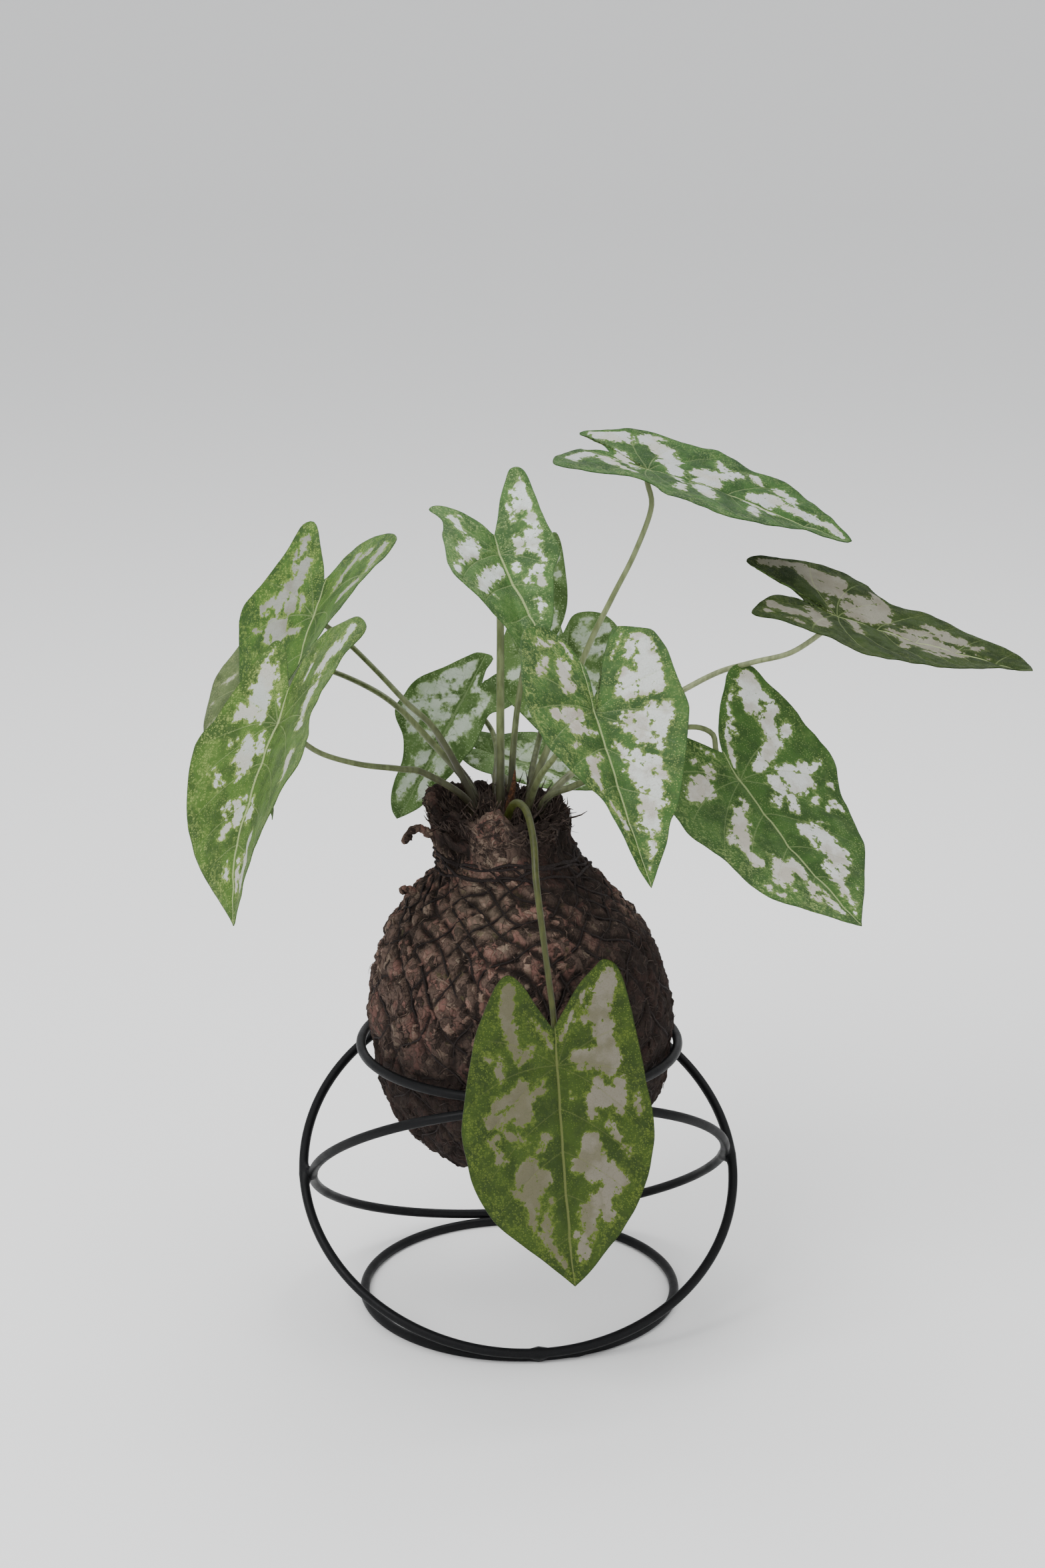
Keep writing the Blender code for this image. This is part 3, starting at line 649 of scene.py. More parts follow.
# --------------------------------------------------------------------- making
class Shop:
    """Makes meshes and puts finished pieces on the frame."""

    def __init__(self) -> None:
        """Find the stand's axis in the frame."""
        low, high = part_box("cradle_ring")
        self.axis = np.array([(low[0] + high[0]) / 2,
                              (low[1] + high[1]) / 2, 0.0])

    def place(self, points: Rows) -> Rows:
        """Millimetres about the stand's axis, in the frame's metres."""
        return np.asarray(points, float) * MM + self.axis

    def finish(self, name: str, mesh: Mesh, slot: str,
               *materials: Material, rows: Rows | None = None,
               stands_for: str = "") -> Thing:
        """Put a mesh on the frame as one piece.

        Args:
            name: the piece's name.
            mesh: its mesh, in millimetres.
            slot: not used.
            materials: its materials.
            rows: new places for its vertices, in millimetres.
            stands_for: the plain solid that it takes the place of.

        Returns:
            The piece.
        """
        self.set_coords(mesh, self.place(
            self.coords(mesh) if rows is None else rows))
        for material in materials:
            mesh.materials.append(material)
        mesh.shade_smooth()
        piece = link(name, mesh)
        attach(piece, "root")
        if stands_for:
            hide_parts(stands_for)
        LOG.info("%s: %d faces", name, len(mesh.polygons))
        return piece

    @staticmethod
    def coords(mesh: Mesh) -> Rows:
        """The vertices of a mesh as rows."""
        rows = np.empty(len(mesh.vertices) * 3)
        mesh.vertices.foreach_get("co", rows)
        return rows.reshape(-1, 3)

    @staticmethod
    def set_coords(mesh: Mesh, rows: Rows) -> None:
        """Move the vertices of a mesh."""
        mesh.vertices.foreach_set("co", np.asarray(rows, float).ravel())
        mesh.update()

    @staticmethod
    def note(mesh: Mesh, name: str, values: Rows) -> None:
        """Store one number for each vertex."""
        layer = mesh.attributes.new(name, "FLOAT", "POINT")
        layer.data.foreach_set("value", np.asarray(values, np.float32))

    @staticmethod
    def mesh(bm: Shape, name: str) -> Mesh:
        """A mesh of a closed bmesh, with its faces turned outwards."""
        bmesh.ops.recalc_face_normals(bm, faces=bm.faces)
        made = bpy.data.meshes.new(name)
        bm.to_mesh(made)
        bm.free()
        return made

    def mould(self, bm: Shape, rows: Rows, name: str,
              facts: dict[str, Rows] | None = None) -> Mesh:
        """Draw a disc out into a closed shape.

        Args:
            bm: the disc.
            rows: the place of each of its vertices.
            name: the mesh's name.
            facts: numbers for each vertex, by name.

        Returns:
            The mesh, in millimetres.
        """
        facts = facts or {}
        layers = [bm.verts.layers.float.new(key) for key in facts]
        for k, (vert, row) in enumerate(zip(bm.verts, rows)):
            vert.co = row
            for layer, values in zip(layers, facts.values()):
                vert[layer] = values[k]
        bmesh.ops.remove_doubles(bm, verts=bm.verts, dist=WELD)
        return self.mesh(bm, name)

    @staticmethod
    def sheet(bm: Shape, name: str) -> Mesh:
        """A mesh of a flat bmesh, with its faces turned up."""
        bmesh.ops.recalc_face_normals(bm, faces=bm.faces)
        if sum(face.normal.z for face in bm.faces) < 0:
            bmesh.ops.reverse_faces(bm, faces=bm.faces)
        made = bpy.data.meshes.new(name)
        bm.to_mesh(made)
        bm.free()
        return made

    def tubes(self, name: str, lines: list[Rows],
              radii: list[Rows], sides: int = 8,
              closed: bool = False) -> Mesh:
        """Round tubes along lines.

        Args:
            name: the mesh's name.
            lines: rows of millimetres for each tube.
            radii: the radius at each point in millimetres.
            sides: faces round a tube, an even number from 4.
            closed: whether each line is a ring.

        Returns:
            One mesh with all the tubes, in millimetres.
        """
        curve = bpy.data.curves.new(name, "CURVE")
        curve.dimensions = "3D"
        curve.bevel_depth = 1.0
        curve.bevel_resolution = (sides - 4) // 2
        curve.use_fill_caps = not closed
        for line, radius in zip(lines, radii):
            spline = curve.splines.new("POLY")
            spline.points.add(len(line) - 1)
            rows = np.concatenate([line, np.ones((len(line), 1))], 1)
            spline.points.foreach_set("co", rows.ravel())
            spline.points.foreach_set("radius", np.broadcast_to(
                radius, len(line)).astype(float))
            spline.use_cyclic_u = closed
        holder = link(name, curve)
        graph = bpy.context.evaluated_depsgraph_get()
        mesh = bpy.data.meshes.new_from_object(holder.evaluated_get(graph))
        bpy.data.objects.remove(holder, do_unlink=True)
        bpy.data.curves.remove(curve)
        bm = bmesh.new()
        bm.from_mesh(mesh)
        bmesh.ops.remove_doubles(bm, verts=bm.verts, dist=WELD)
        bpy.data.meshes.remove(mesh)
        return self.mesh(bm, name)

    def stalk(self, name: str, line: Rows, radius: Rows) -> Mesh:
        """A stalk that knows the distance from its foot.

        Args:
            name: the mesh's name.
            line: its centreline in millimetres.
            radius: its radius at each point.

        Returns:
            The mesh, in millimetres.
        """
        mesh = self.tubes(name, [line], [radius], 14)
        rows = self.coords(mesh)
        near = np.linalg.norm(rows[:, None] - line[None], axis=2).argmin(1)
        self.note(mesh, "foot", run_of(line)[near])
        return mesh

    @staticmethod
    def spin(profile: list[Flat], steps: int) -> Shape:
        """A turned surface from its (radius, height) profile."""
        bm = bmesh.new()
        verts = [bm.verts.new((r, 0.0, z)) for r, z in profile]
        edges = [bm.edges.new(pair) for pair in zip(verts, verts[1:])]
        bmesh.ops.spin(bm, geom=verts + edges, cent=(0, 0, 0),
                       axis=(0, 0, 1), angle=2 * pi, steps=steps,
                       use_merge=True, use_duplicate=False)
        bmesh.ops.remove_doubles(bm, verts=bm.verts, dist=WELD)
        return bm

    @staticmethod
    def disc(rings: int, steps: int) -> tuple[Shape, Rows, Rows]:
        """A flat round net of faces, to be drawn out into a shape.

        Args:
            rings: number of rings round the middle.
            steps: number of spokes.

        Returns:
            The bmesh, and the ring and the turn (0 to 1) of each vertex.
        """
        bm = Shop.spin([(float(k), 0.0) for k in range(rings + 1)], steps)
        rows = np.array([v.co[:2] for v in bm.verts])
        ring = np.rint(np.hypot(rows[:, 0], rows[:, 1])).astype(int)
        turn = np.arctan2(rows[:, 1], rows[:, 0]) / (2 * pi) % 1.0
        return bm, ring, np.rint(turn * steps).astype(int) % steps / steps


# ---------------------------------------------------------------------- stand
@dataclass
class Stand:
    """The cradle: two level rings and two tilted hoops of welded wire."""

    turn: float = 6.7
    wire: float = 1.82
    ring: float = 60.0
    base_z: float = 1.6
    cradle_z: float = 103.0
    hoop_z: float = 52.3
    tilt: float = 37.7
    deep: float = 79.0
    inner_wide: float = 79.2
    outer_wide: float = 82.6
    bead: float = 2.7
    butt: float = 2.2
    blend: float = 1.7
    steps: int = 300
    sides: int = 20
    paint: PaintFinish = PaintFinish()

    def level_ring(self, height: float) -> Rows:
        """Centreline of a level ring."""
        a = np.arange(self.steps) * 2 * pi / self.steps
        return np.stack([self.ring * np.cos(a), self.ring * np.sin(a),
                         np.full_like(a, height)], -1)

    def hoop(self, wide: float, side: int) -> Rows:
        """Centreline of a hoop, high at the front if side is -1."""
        a = np.arange(self.steps) * 2 * pi / self.steps
        deep = self.deep * np.sin(a)
        return np.stack([wide * np.cos(a), deep * cos(radians(self.tilt)),
                         self.hoop_z + side * deep
                         * sin(radians(self.tilt))], -1)

    def welds(self) -> list[tuple[Rows, float]]:
        """Centre and radius of each weld."""
        reach = (self.ring + self.deep * cos(radians(self.tilt))) / 2
        rise = self.deep * sin(radians(self.tilt))
        foot = (self.base_z + self.hoop_z - rise) / 2 + 0.3
        top = (self.cradle_z + self.hoop_z + rise) / 2
        side = (self.inner_wide + self.outer_wide) / 2
        spots = [(0, y, z) for y in (-reach, reach) for z in (foot, top)]
        spots += [(x, 0, self.hoop_z) for x in (-side, side)]
        beads = [(np.array(s, float), self.bead) for s in spots]
        a = radians(-76)
        beads.append((np.array([self.ring * cos(a), self.ring * sin(a),
                                self.base_z + 0.5]), self.butt))
        return beads

    def swell(self, rows: Rows, line: Rows) -> Rows:
        """Draw the wire out round the welds that it meets.

        Args:
            rows: vertices of the wire.
            line: its centreline.

        Returns:
            The moved vertices.
        """
        rows = rows.copy()
        for centre, radius in self.welds():
            near = np.flatnonzero(np.linalg.norm(rows - centre, axis=1) < 9)
            if not len(near):
                continue
            gaps = np.linalg.norm(rows[near][:, None] - line[None], axis=2)
            foot = line[gaps.argmin(1)]
            way = rows[near] - foot
            reach = np.linalg.norm(way, axis=1)
            way /= reach[:, None]
            for _ in range(24):
                spot = foot + way * reach[:, None]
                wire = reach - self.wire
                ball = np.linalg.norm(spot - centre, axis=1) - radius
                share = np.clip(0.5 + 0.5 * (ball - wire) / self.blend, 0, 1)
                reach = reach - (ball * (1 - share) + wire * share
                                 - self.blend * share * (1 - share))
            rows[near] = foot + way * reach[:, None]
        return rows

    def build(self, shop: Shop) -> None:
        """Make the four wires."""
        wires = {"base_ring": self.level_ring(self.base_z),
                 "cradle_ring": self.level_ring(self.cradle_z),
                 "hoop_inner": self.hoop(self.inner_wide, -1),
                 "hoop_outer": self.hoop(self.outer_wide, 1)}
        a = radians(self.turn)
        spin = np.array([[cos(a), sin(a), 0], [-sin(a), cos(a), 0], [0, 0, 1]])
        for name, line in wires.items():
            mesh = shop.tubes(name, [line], [np.array(self.wire)],
                              self.sides, True)
            rows = self.swell(shop.coords(mesh), line)
            rows[:, 2] = np.maximum(rows[:, 2], 0.02)
            shop.finish("wire_" + name, mesh, "black_paint",
                        self.paint.make("paint_" + name), rows=rows @ spin,
                        stands_for=name)


# ----------------------------------------------------------------------- ball
@dataclass
class Ball:
    """Soil ball with its coir wrap, net, tie, loose fibres and tuber."""

    profile: Edge = (
        (0.0, 55.0), (14.0, 55.8), (27.0, 59.0), (37.0, 64.0), (45.5, 72.0),
        (51.0, 81.0), (54.6, 91.0), (56.0, 99.0), (56.8, 107.0),
        (57.7, 113.0), (56.8, 125.0), (52.6, 141.0), (46.0, 153.0),
        (37.0, 164.0), (29.5, 172.0), (26.4, 179.0), (25.8, 187.0),
        (26.6, 195.5))
    rim: Edge = ((25.6, 197.4), (23.8, 197.6), (22.3, 195.8))
    throat: Edge = ((21.3, 189.0), (21.0, 182.0), (22.0, 175.0))
    lean: Edge = ((55, 1), (110, 0.8), (150, -1.5),
                  (172, -2.5), (182, -6.5), (196, -8.5))
    pleats: tuple[Point, ...] = (
        (-136.0, 8.5, 5.0), (-58.0, 4.0, 1.8), (-22.0, 5.0, 2.4),
        (28.0, 5.0, 2.2), (70.0, 5.5, 2.6), (112.0, 6.0, 3.0),
        (158.0, 5.0, 2.2))
    wall: float = 4.5
    steps: int = 360
    crumb_steps: int = 150
    columns: int = 20
    cell: float = 22.5
    gathered: float = 9.0
    cord: float = 0.42
    crease: float = 1.5
    highest: float = 2.2
    cord_low: float = 15.0
    cord_top: float = 181.0
    neck_z: float = 172.0
    tie_z: float = 176.5
    clear: float = 2.4
    mouth: float = 22.5
    mouth_x: float = -7.5
    chips: int = 1200
    fibres: int = 1700
    tufts: int = 520
    stuffing: int = 900
    tie_cord: float = 0.52
    seed: int = 11

    def __post_init__(self) -> None:
        """Work out the wrap's line and its lie from foot to rim."""
        self.line = even_line(smooth_line(list(self.profile), 8), 236)
        self.run = run_of(self.line)
        step = np.gradient(self.line, axis=0)
        step /= np.linalg.norm(step, axis=1)[:, None]
        self.out = np.stack([step[:, 1], -step[:, 0]], -1)
        self.out[0] = (0.0, -1.0)
        self.rate = 1 / self.cell + (1 / self.gathered - 1 / self.cell) \
            * ease(self.line[:, 1], 138, 164)
        self.wind = np.concatenate([[0], np.cumsum(
            (self.rate[1:] + self.rate[:-1]) / 2 * np.diff(self.run))])

    def axis_x(self, height: Rows) -> Rows:
        """How far the wrap's axis leans sideways at a height."""
        return np.interp(height, [p[0] for p in self.lean],
                         [p[1] for p in self.lean])

    def on_wrap(self, run: Rows, turn: Rows, lift: Rows) -> Rows:
        """Points on the wrap.

        Args:
            run: length along the wrap's line from its foot.
            turn: angle round the axis, from 0 to 1.
            lift: height above the wrap's line.

        Returns:
            Rows of millimetres.
        """
        radius, height, out_r, out_z = (
            np.interp(run, self.run, column) for column in
            (*self.line.T, *self.out.T))
        r, z = radius + lift * out_r, height + lift * out_z
        a = 2 * pi * turn
        x = r * np.cos(a) + self.axis_x(z)
        return np.stack([x, r * np.sin(a), z], -1)

    def stray(self, run: Rows, turn: Rows) -> Rows:
        """How far the net's lines stray, in columns."""
        a = 2 * pi * turn
        return (0.34 * np.sin(a * 3 + run * 0.05)
                + 0.18 * np.sin(a * 7 - run * 0.09 + 1.0)
                + 0.12 * np.sin(a * 11 + run * 0.15 + 2.0))

    def from_net(self, run: Rows, turn: Rows) -> Rows:
        """Distance to the nearest cord of the net."""
        radius = np.interp(run, self.run, self.line[:, 0])
        pitch = 2 * pi * np.maximum(radius, 4.0) / self.columns
        across = turn * self.columns + self.stray(run, turn)
        wind = np.interp(run, self.run, self.wind)
        slant = np.hypot(1, np.interp(run, self.run, self.rate) * pitch)
        gaps = []
        for way in (1, -1):
            place = across + way * wind
            gaps.append(np.abs(place - np.rint(place)) * pitch / slant
                        + (0.35 if way < 0 else 0.0))
        return np.minimum(*gaps)

    def about_front(self, turn: Rows, angle: float) -> Rows:
        """Degrees from an angle, where -90 is the front."""
        return (np.asarray(turn) * 360 - angle + 180) % 360 - 180

    def beside(self, turn: Rows, angle: float, wide: float) -> Rows:
        """Nearness to an angle, 1 there and 0 well beyond its width."""
        return bell(self.about_front(turn, angle), wide)

    def relief(self, run: Rows, turn: Rows, rows: Rows) -> Rows:
        """Height of the lumpy wrap above its line.

        Args:
            run, turn: places on the wrap.
            rows: the same places in millimetres.

        Returns:
            Heights in millimetres.
        """
        height = rows[:, 2]
        netted = ease(run, 8, 22) * (1 - ease(height, self.neck_z, 180))
        pillow = 1 - netted * bell(self.from_net(run, turn), 2.0)
        big = fractal(rows, 15.0, 2, 3.0)
        chunk = np.array([noise.voronoi(Vector(p * (1.0, 1.0, 0.65)) / 4.6)
                          [0][0] for p in rows])
        fine = fractal(rows, 3.0, 4, 9.0)
        rise = self.crease * (pillow - 1) + 0.8 * big \
            + 1.15 * (0.42 - chunk) + 0.65 * fine
        radius = np.interp(run, self.run, self.line[:, 0])
        for angle, wide, deep in self.pleats:
            gap = radius * np.radians(self.about_front(turn, angle))
            rise -= deep * bell(gap, wide) * ease(height, 173, 184)
        rise += 1.3 * self.beside(turn, -92, 17) * ease(height, 176, 184)
        return np.minimum(rise, self.highest)

    def tone(self, turn: Rows, height: Rows) -> Rows:
        """Coir tone, -1 dark to 1 light, partly painted light and shade.

        Args:
            turn: angle round the axis, from 0 to 1.
            height: height in millimetres.

        Returns:
            The tone at each place.
        """
        neck = ease(height, 178, 184)
        patch = self.beside(turn, -97, 20) * neck * (
            1.05 - 0.3 * ease(height, 186, 200))
        # Painted shade: darker on the right, the side away from the light.
        right = self.beside(turn, -30, 52) \
            * (1.0 - 0.35 * ease(height, 138, 160))
        sunny = self.beside(turn, -120, 42)
        # Painted shade: the shoulder under the leaves is darker, except on the
        # sunny side.
        shoulder = ease(height, 158, 172) * (1 - neck) * (1 - sunny)
        # Painted light: the upper part of the sunny side is lighter.
        crown = 0.2 * sunny * ease(height, 130, 150) * (1 - neck)
        # A lighter band on the front of the shoulder, below the neck.
        lighter_front = 0.45 * self.beside(turn, -97, 26) * ease(
            height, 154, 162) * (1 - ease(height, 171, 177))
        left = self.beside(turn, -170, 22)
        # Painted shade: darker in the deep fold at the left front of the neck.
        fold = self.beside(turn, -134, 20)
        # The neck is darker, and the ball is darker towards the bottom.
        return (patch - 0.92 * neck - 0.4 * shoulder + crown + lighter_front
                - right * (1 - neck) + 0.3 * neck * left
                - 0.4 * neck * fold
                - 1.45 * (1 - ease(height, 58, 154)))

    def collar(self, rows: Rows, turn: Rows) -> Rows:
        """Tear the rim: ragged in height and in width."""
        a = 2 * pi * turn
        way = np.stack([np.cos(a), np.sin(a), np.zeros_like(a)], -1)
        share = ease(rows[:, 2], 183, 197)
        tear = fractal(way * 26, 6.0, 4, 5.0)
        flare = fractal(way * 26, 16.0, 2, 8.0)
        flap = self.beside(turn, -92, 15)
        rows = rows.copy()
        rows[:, 2] += share * (4.2 * tear - 2.2 * np.cos(a) + 4.5 * flap
                               - 2.5 * np.maximum(-np.sin(a), 0))
        rows += way * (share * (2.0 * flare + 0.4 - 2.6 * flap))[:, None]
        return rows

    def turned(self, shop: Shop, whole: Rows, steps: int
               ) -> tuple[Shape, Rows, Rows,
                          Rows]:
        """A closed shell turned round the ball's leaning axis.

        Args:
            shop: where pieces are made.
            whole: the shell's (radius, height) line, from axis to axis.
            steps: number of spokes.

        Returns:
            The bmesh, the ring and the turn of each vertex, and its place
            in millimetres.
        """
        bm, ring, turn = shop.disc(len(whole) - 1, steps)
        flat = whole[ring]
        a = 2 * pi * turn
        rows = np.stack([flat[:, 0] * np.cos(a) + self.axis_x(flat[:, 1]),
                         flat[:, 0] * np.sin(a), flat[:, 1]], -1)
        return bm, ring, turn, rows

    def build_wrap(self, shop: Shop) -> None:
        """Make the coir wrap, a torn open shell with a lumpy outside."""
        inner = self.line - self.out * self.wall
        inner = inner[(self.line[:, 1] < 170)][::-12]
        inner[-1] = (0.0, inner[-1][1])
        rim = even_line(smooth_line([self.profile[-1], *self.rim,
                                     *self.throat], 6), 22)[1:]
        whole = np.vstack([self.line, rim, inner])
        outer = len(self.line)
        bm, ring, turn, rows = self.turned(shop, whole, self.steps)
        skin = ring < outer
        run = self.run[np.minimum(ring, outer - 1)]
        lift = np.zeros(len(rows))
        lift[skin] = self.relief(run[skin], turn[skin], rows[skin])
        rows[skin] = self.on_wrap(run[skin], turn[skin], lift[skin])
        edge = (ring >= outer) & (ring < outer + len(rim))
        rough = fractal(rows[edge], 3.0, 3, 6.0)
        rows[edge] += np.stack([rough, np.roll(rough, 7), rough], -1) * 0.7
        lift[edge] = -0.6
        rows = self.collar(rows, turn)
        net = np.full(len(rows), 9.0)
        net[skin] = self.from_net(run[skin], turn[skin]) \
            + 9 * ease(rows[skin, 2], self.neck_z, 180)
        facts = {"raised": lift, "net": net,
                 "tone": self.tone(turn, rows[:, 2])}
        mesh = shop.mould(bm, rows, "coir_wrap", facts)
        shop.finish("coir_wrap", mesh, "coir",
                    CoirFinish().make("coir_wrap"),
                    stands_for="coir_cover")
        self.heights = np.zeros((outer, self.steps))
        column = np.rint(turn * self.steps).astype(int) % self.steps
        self.heights[ring[skin], column[skin]] = lift[skin]

    def surface(self, run: Rows, turn: Rows, lift: Rows) -> Rows:
        """Points a little above the finished wrap."""
        row = np.clip(run / self.run[-1] * (len(self.run) - 1), 0,
                      len(self.run) - 1.001)
        col = (turn % 1.0) * self.steps
        i, j = row.astype(int), col.astype(int) % self.steps
        u, v = row - i, col - np.floor(col)
        k = (j + 1) % self.steps
        high = ((self.heights[i, j] * (1 - v) + self.heights[i, k] * v)
                * (1 - u) + (self.heights[i + 1, j] * (1 - v)
                             + self.heights[i + 1, k] * v) * u)
        return self.collar(self.on_wrap(run, turn, high + lift), turn)

    def build_net(self, shop: Shop) -> None:
        """Make the diamond net, its cords pressed into the wrap."""
        top = np.interp(self.cord_top, self.line[:, 1], self.run)
        run = np.linspace(self.cord_low, top, 84)
        wind = np.interp(run, self.run, self.wind)
        lines = []
        for way in (1, -1):
            for k in range(self.columns):
                turn = (k - way * wind) / self.columns
                for _ in range(4):
                    turn = (k - way * wind - self.stray(run, turn)
                            ) / self.columns
                sag = 0.2 * np.sin(run * 1.7 + k * 2.1 + way) \
                    + 0.35 * np.sin(run * 0.23 + k * 4.7 + way * 2)
                lines.append(self.surface(run, turn, sag - 0.05))
        mesh = shop.tubes("net_cords", lines,
                          [np.array(self.cord)] * self.columns
                          + [np.array(self.cord * 0.8)] * self.columns, 6)
        shop.finish("net_cords", mesh, "net_cord",
                    CordFinish().make("net_cords"), stands_for="net")

    def build_tie(self, shop: Shop) -> None:
        """Make the loose cords that gather the net under the neck."""
        turn = np.arange(240) / 240
        run = np.full(240, np.interp(self.tie_z, self.line[:, 1], self.run))
        a = 2 * pi * turn
        lines = []
        for start, rise, wave in ((-2.6, 1.5, 2), (-0.6, 1.9, 3),
                                  (1.2, 1.4, 1), (2.4, 1.2, 4)):
            lines.append(self.surface(
                run + start + rise * np.sin(a * wave + start * 3)
                + 0.5 * np.sin(a * 9 + start), turn,
                0.25 + 0.3 * np.sin(a * 11 + start * 5)))
        mesh = shop.tubes("tie_cord", lines, [np.array(self.tie_cord)] * 4, 8,
                          True)
        shop.finish("tie_cord", mesh, "net_cord",
                    CordFinish().make("tie_cord"),
                    stands_for="neck_tie")

    def strand(self, rng: np.random.Generator, run: float, turn: float,
               heading: float, length: float, lift: Rows,
               wander: float = 0.5) -> Rows:
        """One strand that wanders over the wrap.

        Args:
            rng: source of chance.
            run, turn: where it starts.
            heading: its first direction, 0 up the wrap.
            length: its length.
            lift: its height above the wrap at each of its points.
            wander: how much it turns at each point.

        Returns:
            The points it passes through.
        """
        count = len(lift)
        step = length / (count - 1)
        heads = heading + np.cumsum(rng.normal(0, wander, count))
        radius = max(np.interp(run, self.run, self.line[:, 0]), 6.0)
        runs = run + np.cumsum(np.cos(heads)) * step
        turns = turn + np.cumsum(np.sin(heads)) * step / (2 * pi * radius)
        return self.surface(np.clip(runs, 0.5, self.run[-1] - 0.2), turns,
                            lift)

    def finish_strands(self, shop: Shop, name: str, lines: list[Rows],
                       radii: list[Rows], sides: int,
                       material: Material) -> None:
        """Make strands one piece, with the tone and painted shade of the wrap
        under them.

        Args:
            shop: where pieces are made.
            name: the piece's name.
            lines, radii: the strands.
            sides: faces round a strand.
            material: their material.
        """
        mesh = shop.tubes(name, lines, radii, sides)
        rows = shop.coords(mesh)
        turn = np.arctan2(rows[:, 1], rows[:, 0]
                          - self.axis_x(rows[:, 2])) / (2 * pi)
        shop.note(mesh, "tone", self.tone(turn, rows[:, 2]))
        shop.finish(name, mesh, "coir", material)

    def build_chips(self, shop: Shop) -> None:
        """Make the short thick chips of coir that lie between the cords."""
        rng = np.random.default_rng(self.seed + 1)
        lines, radii = [], []
        weight = np.maximum(self.line[:, 0], 1.0)
        swell = np.array([0.35, 1.0, 1.1, 0.9, 0.3])
        while len(lines) < self.chips:
            run = rng.choice(self.run, p=weight / weight.sum())
            turn = rng.random()
            height = np.interp(run, self.run, self.line[:, 1])
            if self.from_net(run, turn) < self.clear and height < self.neck_z:
                continue
            lift = rng.uniform(-0.45, 0.0) \
                + np.array([-0.5, 0.0, 0.15, 0.0, -0.5])
            lines.append(self.strand(rng, run, turn, rng.normal(0, 0.8),
                                     rng.uniform(2.5, 7.0), lift, 0.45))
            radii.append(rng.uniform(0.35, 0.75) * swell)
        self.finish_strands(shop, "coir_chips", lines, radii, 6, CoirFinish(
            netted=False).make("coir_chips"))

    def build_fibres(self, shop: Shop) -> None:
        """Make the loose fibres and the tufts in the mouth."""
        rng = np.random.default_rng(self.seed)
        rim = float(np.interp(186, self.line[:, 1], self.run))
        lines, radii = [], []
        weight = np.maximum(self.line[:, 0], 1.0)
        share = np.linspace(0, 1, 6)
        places = rng.choice(self.run, self.fibres, p=weight / weight.sum())
        for place in places:
            stand = rng.choice([0.0, 0.25, 0.9], p=[0.75, 0.2, 0.05])
            lines.append(self.strand(
                rng, place, rng.random(), rng.uniform(0, 2 * pi),
                rng.uniform(3, 9),
                0.05 + 0.2 * np.sin(pi * share) + stand * share ** 2, 0.55))
            radii.append(rng.uniform(0.08, 0.2)
                         * np.array([0.5, 1, 1, 1, 0.8, 0.3]))
        for _ in range(self.tufts):
            lines.append(self.strand(
                rng, rng.uniform(rim, self.run[-1] - 1), rng.random(),
                rng.normal(0, 0.7), rng.uniform(4, 10),
                0.1 + 0.2 * np.sin(pi * share)
                + rng.uniform(-1.0, 1.2) * share ** 2))
            radii.append(rng.uniform(0.12, 0.36)
                         * np.array([0.7, 1, 1, 0.9, 0.7, 0.25]))
        for _ in range(self.stuffing):
            a = rng.uniform(0, 2 * pi)
            r = self.mouth * np.sqrt(rng.random())
            start = np.array([r * cos(a) + self.mouth_x, r * sin(a),
                              rng.uniform(186, 193)])
            way = np.array([cos(a) * 0.5, sin(a) * 0.5, 0.9])
            way += rng.normal(0, 0.5, 3)
            way /= np.linalg.norm(way)
            bends = np.cumsum(rng.normal(0, 0.5, (6, 3)), axis=0)
            lines.append(start + way * share[:, None] * rng.uniform(4, 12)
                         + bends * share[:, None])
            radii.append(rng.uniform(0.14, 0.5)
                         * np.array([1, 1, 0.9, 0.8, 0.6, 0.25]))
        self.finish_strands(shop, "coir_fibres", lines, radii, 4,
                            FibreFinish().make("coir_fibres"))

    def build_curls(self, shop: Shop) -> None:
        """Make the two thick curls of coir that stand off on the left."""
        curls = ([(-28.5, -5, 181), (-31.5, -5, 184.5), (-34.8, -5, 187.4),
                  (-38.0, -6, 188.3), (-40.4, -6, 187), (-41.4, -6, 184.4),
                  (-40.9, -6, 183.2)],
                 [(-35.5, -3, 160), (-38.6, -2, 161.8), (-41.0, -2, 163.2),
                  (-42.6, -2, 163.6), (-43.6, -2, 162.6)])
        lines, radii = [], []
        for points in curls:
            line = smooth_line(points, 7)
            along = np.linspace(0, 1, len(line))
            line += fractal(line, 2.0, 2, 4.0)[:, None] * 0.4
            lines.append(line)
            radii.append((1.5 + 0.65 * bell(along - 0.9, 0.12)
                          + 0.45 * fractal(line, 1.6, 2, 7.0))
                         * (1 - along ** 24 * 0.8))
        mesh = shop.tubes("coir_curls", lines, radii, 14)
        rows = shop.coords(mesh)
        rows += fractal(rows, 1.1, 3, 9.0)[:, None] * 0.35
        shop.note(mesh, "tone", np.full(len(rows), -0.15))
        shop.finish("coir_curls", mesh, "coir", CoirFinish(
            netted=False).make("coir_curls"), rows=rows)

    def build_packing(self, shop: Shop) -> None:
        """Make the dark clumps packed round the stalks in the mouth."""
        top = [(r, 193.5 - 0.006 * r * r) for r in np.linspace(0, 24, 34)]
        under = [(r, 182.0) for r in np.linspace(22, 0, 8)]
        whole = np.array(top + under)
        bm, ring, turn, rows = self.turned(shop, whole, self.crumb_steps)
        clump = fractal(rows, 9.0, 2, 12.0)
        crumb = fractal(rows, 3.6, 4, 2.0)
        above = ring < len(top)
        rows[:, 2] += np.where(above, clump * 5.0 + crumb * 1.8
                               - 2.5 * np.sin(2 * pi * turn)
                               * whole[ring, 0] / -24, 0.0)
        mesh = shop.mould(bm, rows, "coir_packing")
        shop.note(mesh, "tone", np.full(len(mesh.vertices), -0.9))
        shop.finish("coir_packing", mesh, "coir", CoirFinish(
            netted=False).make("coir_packing"))

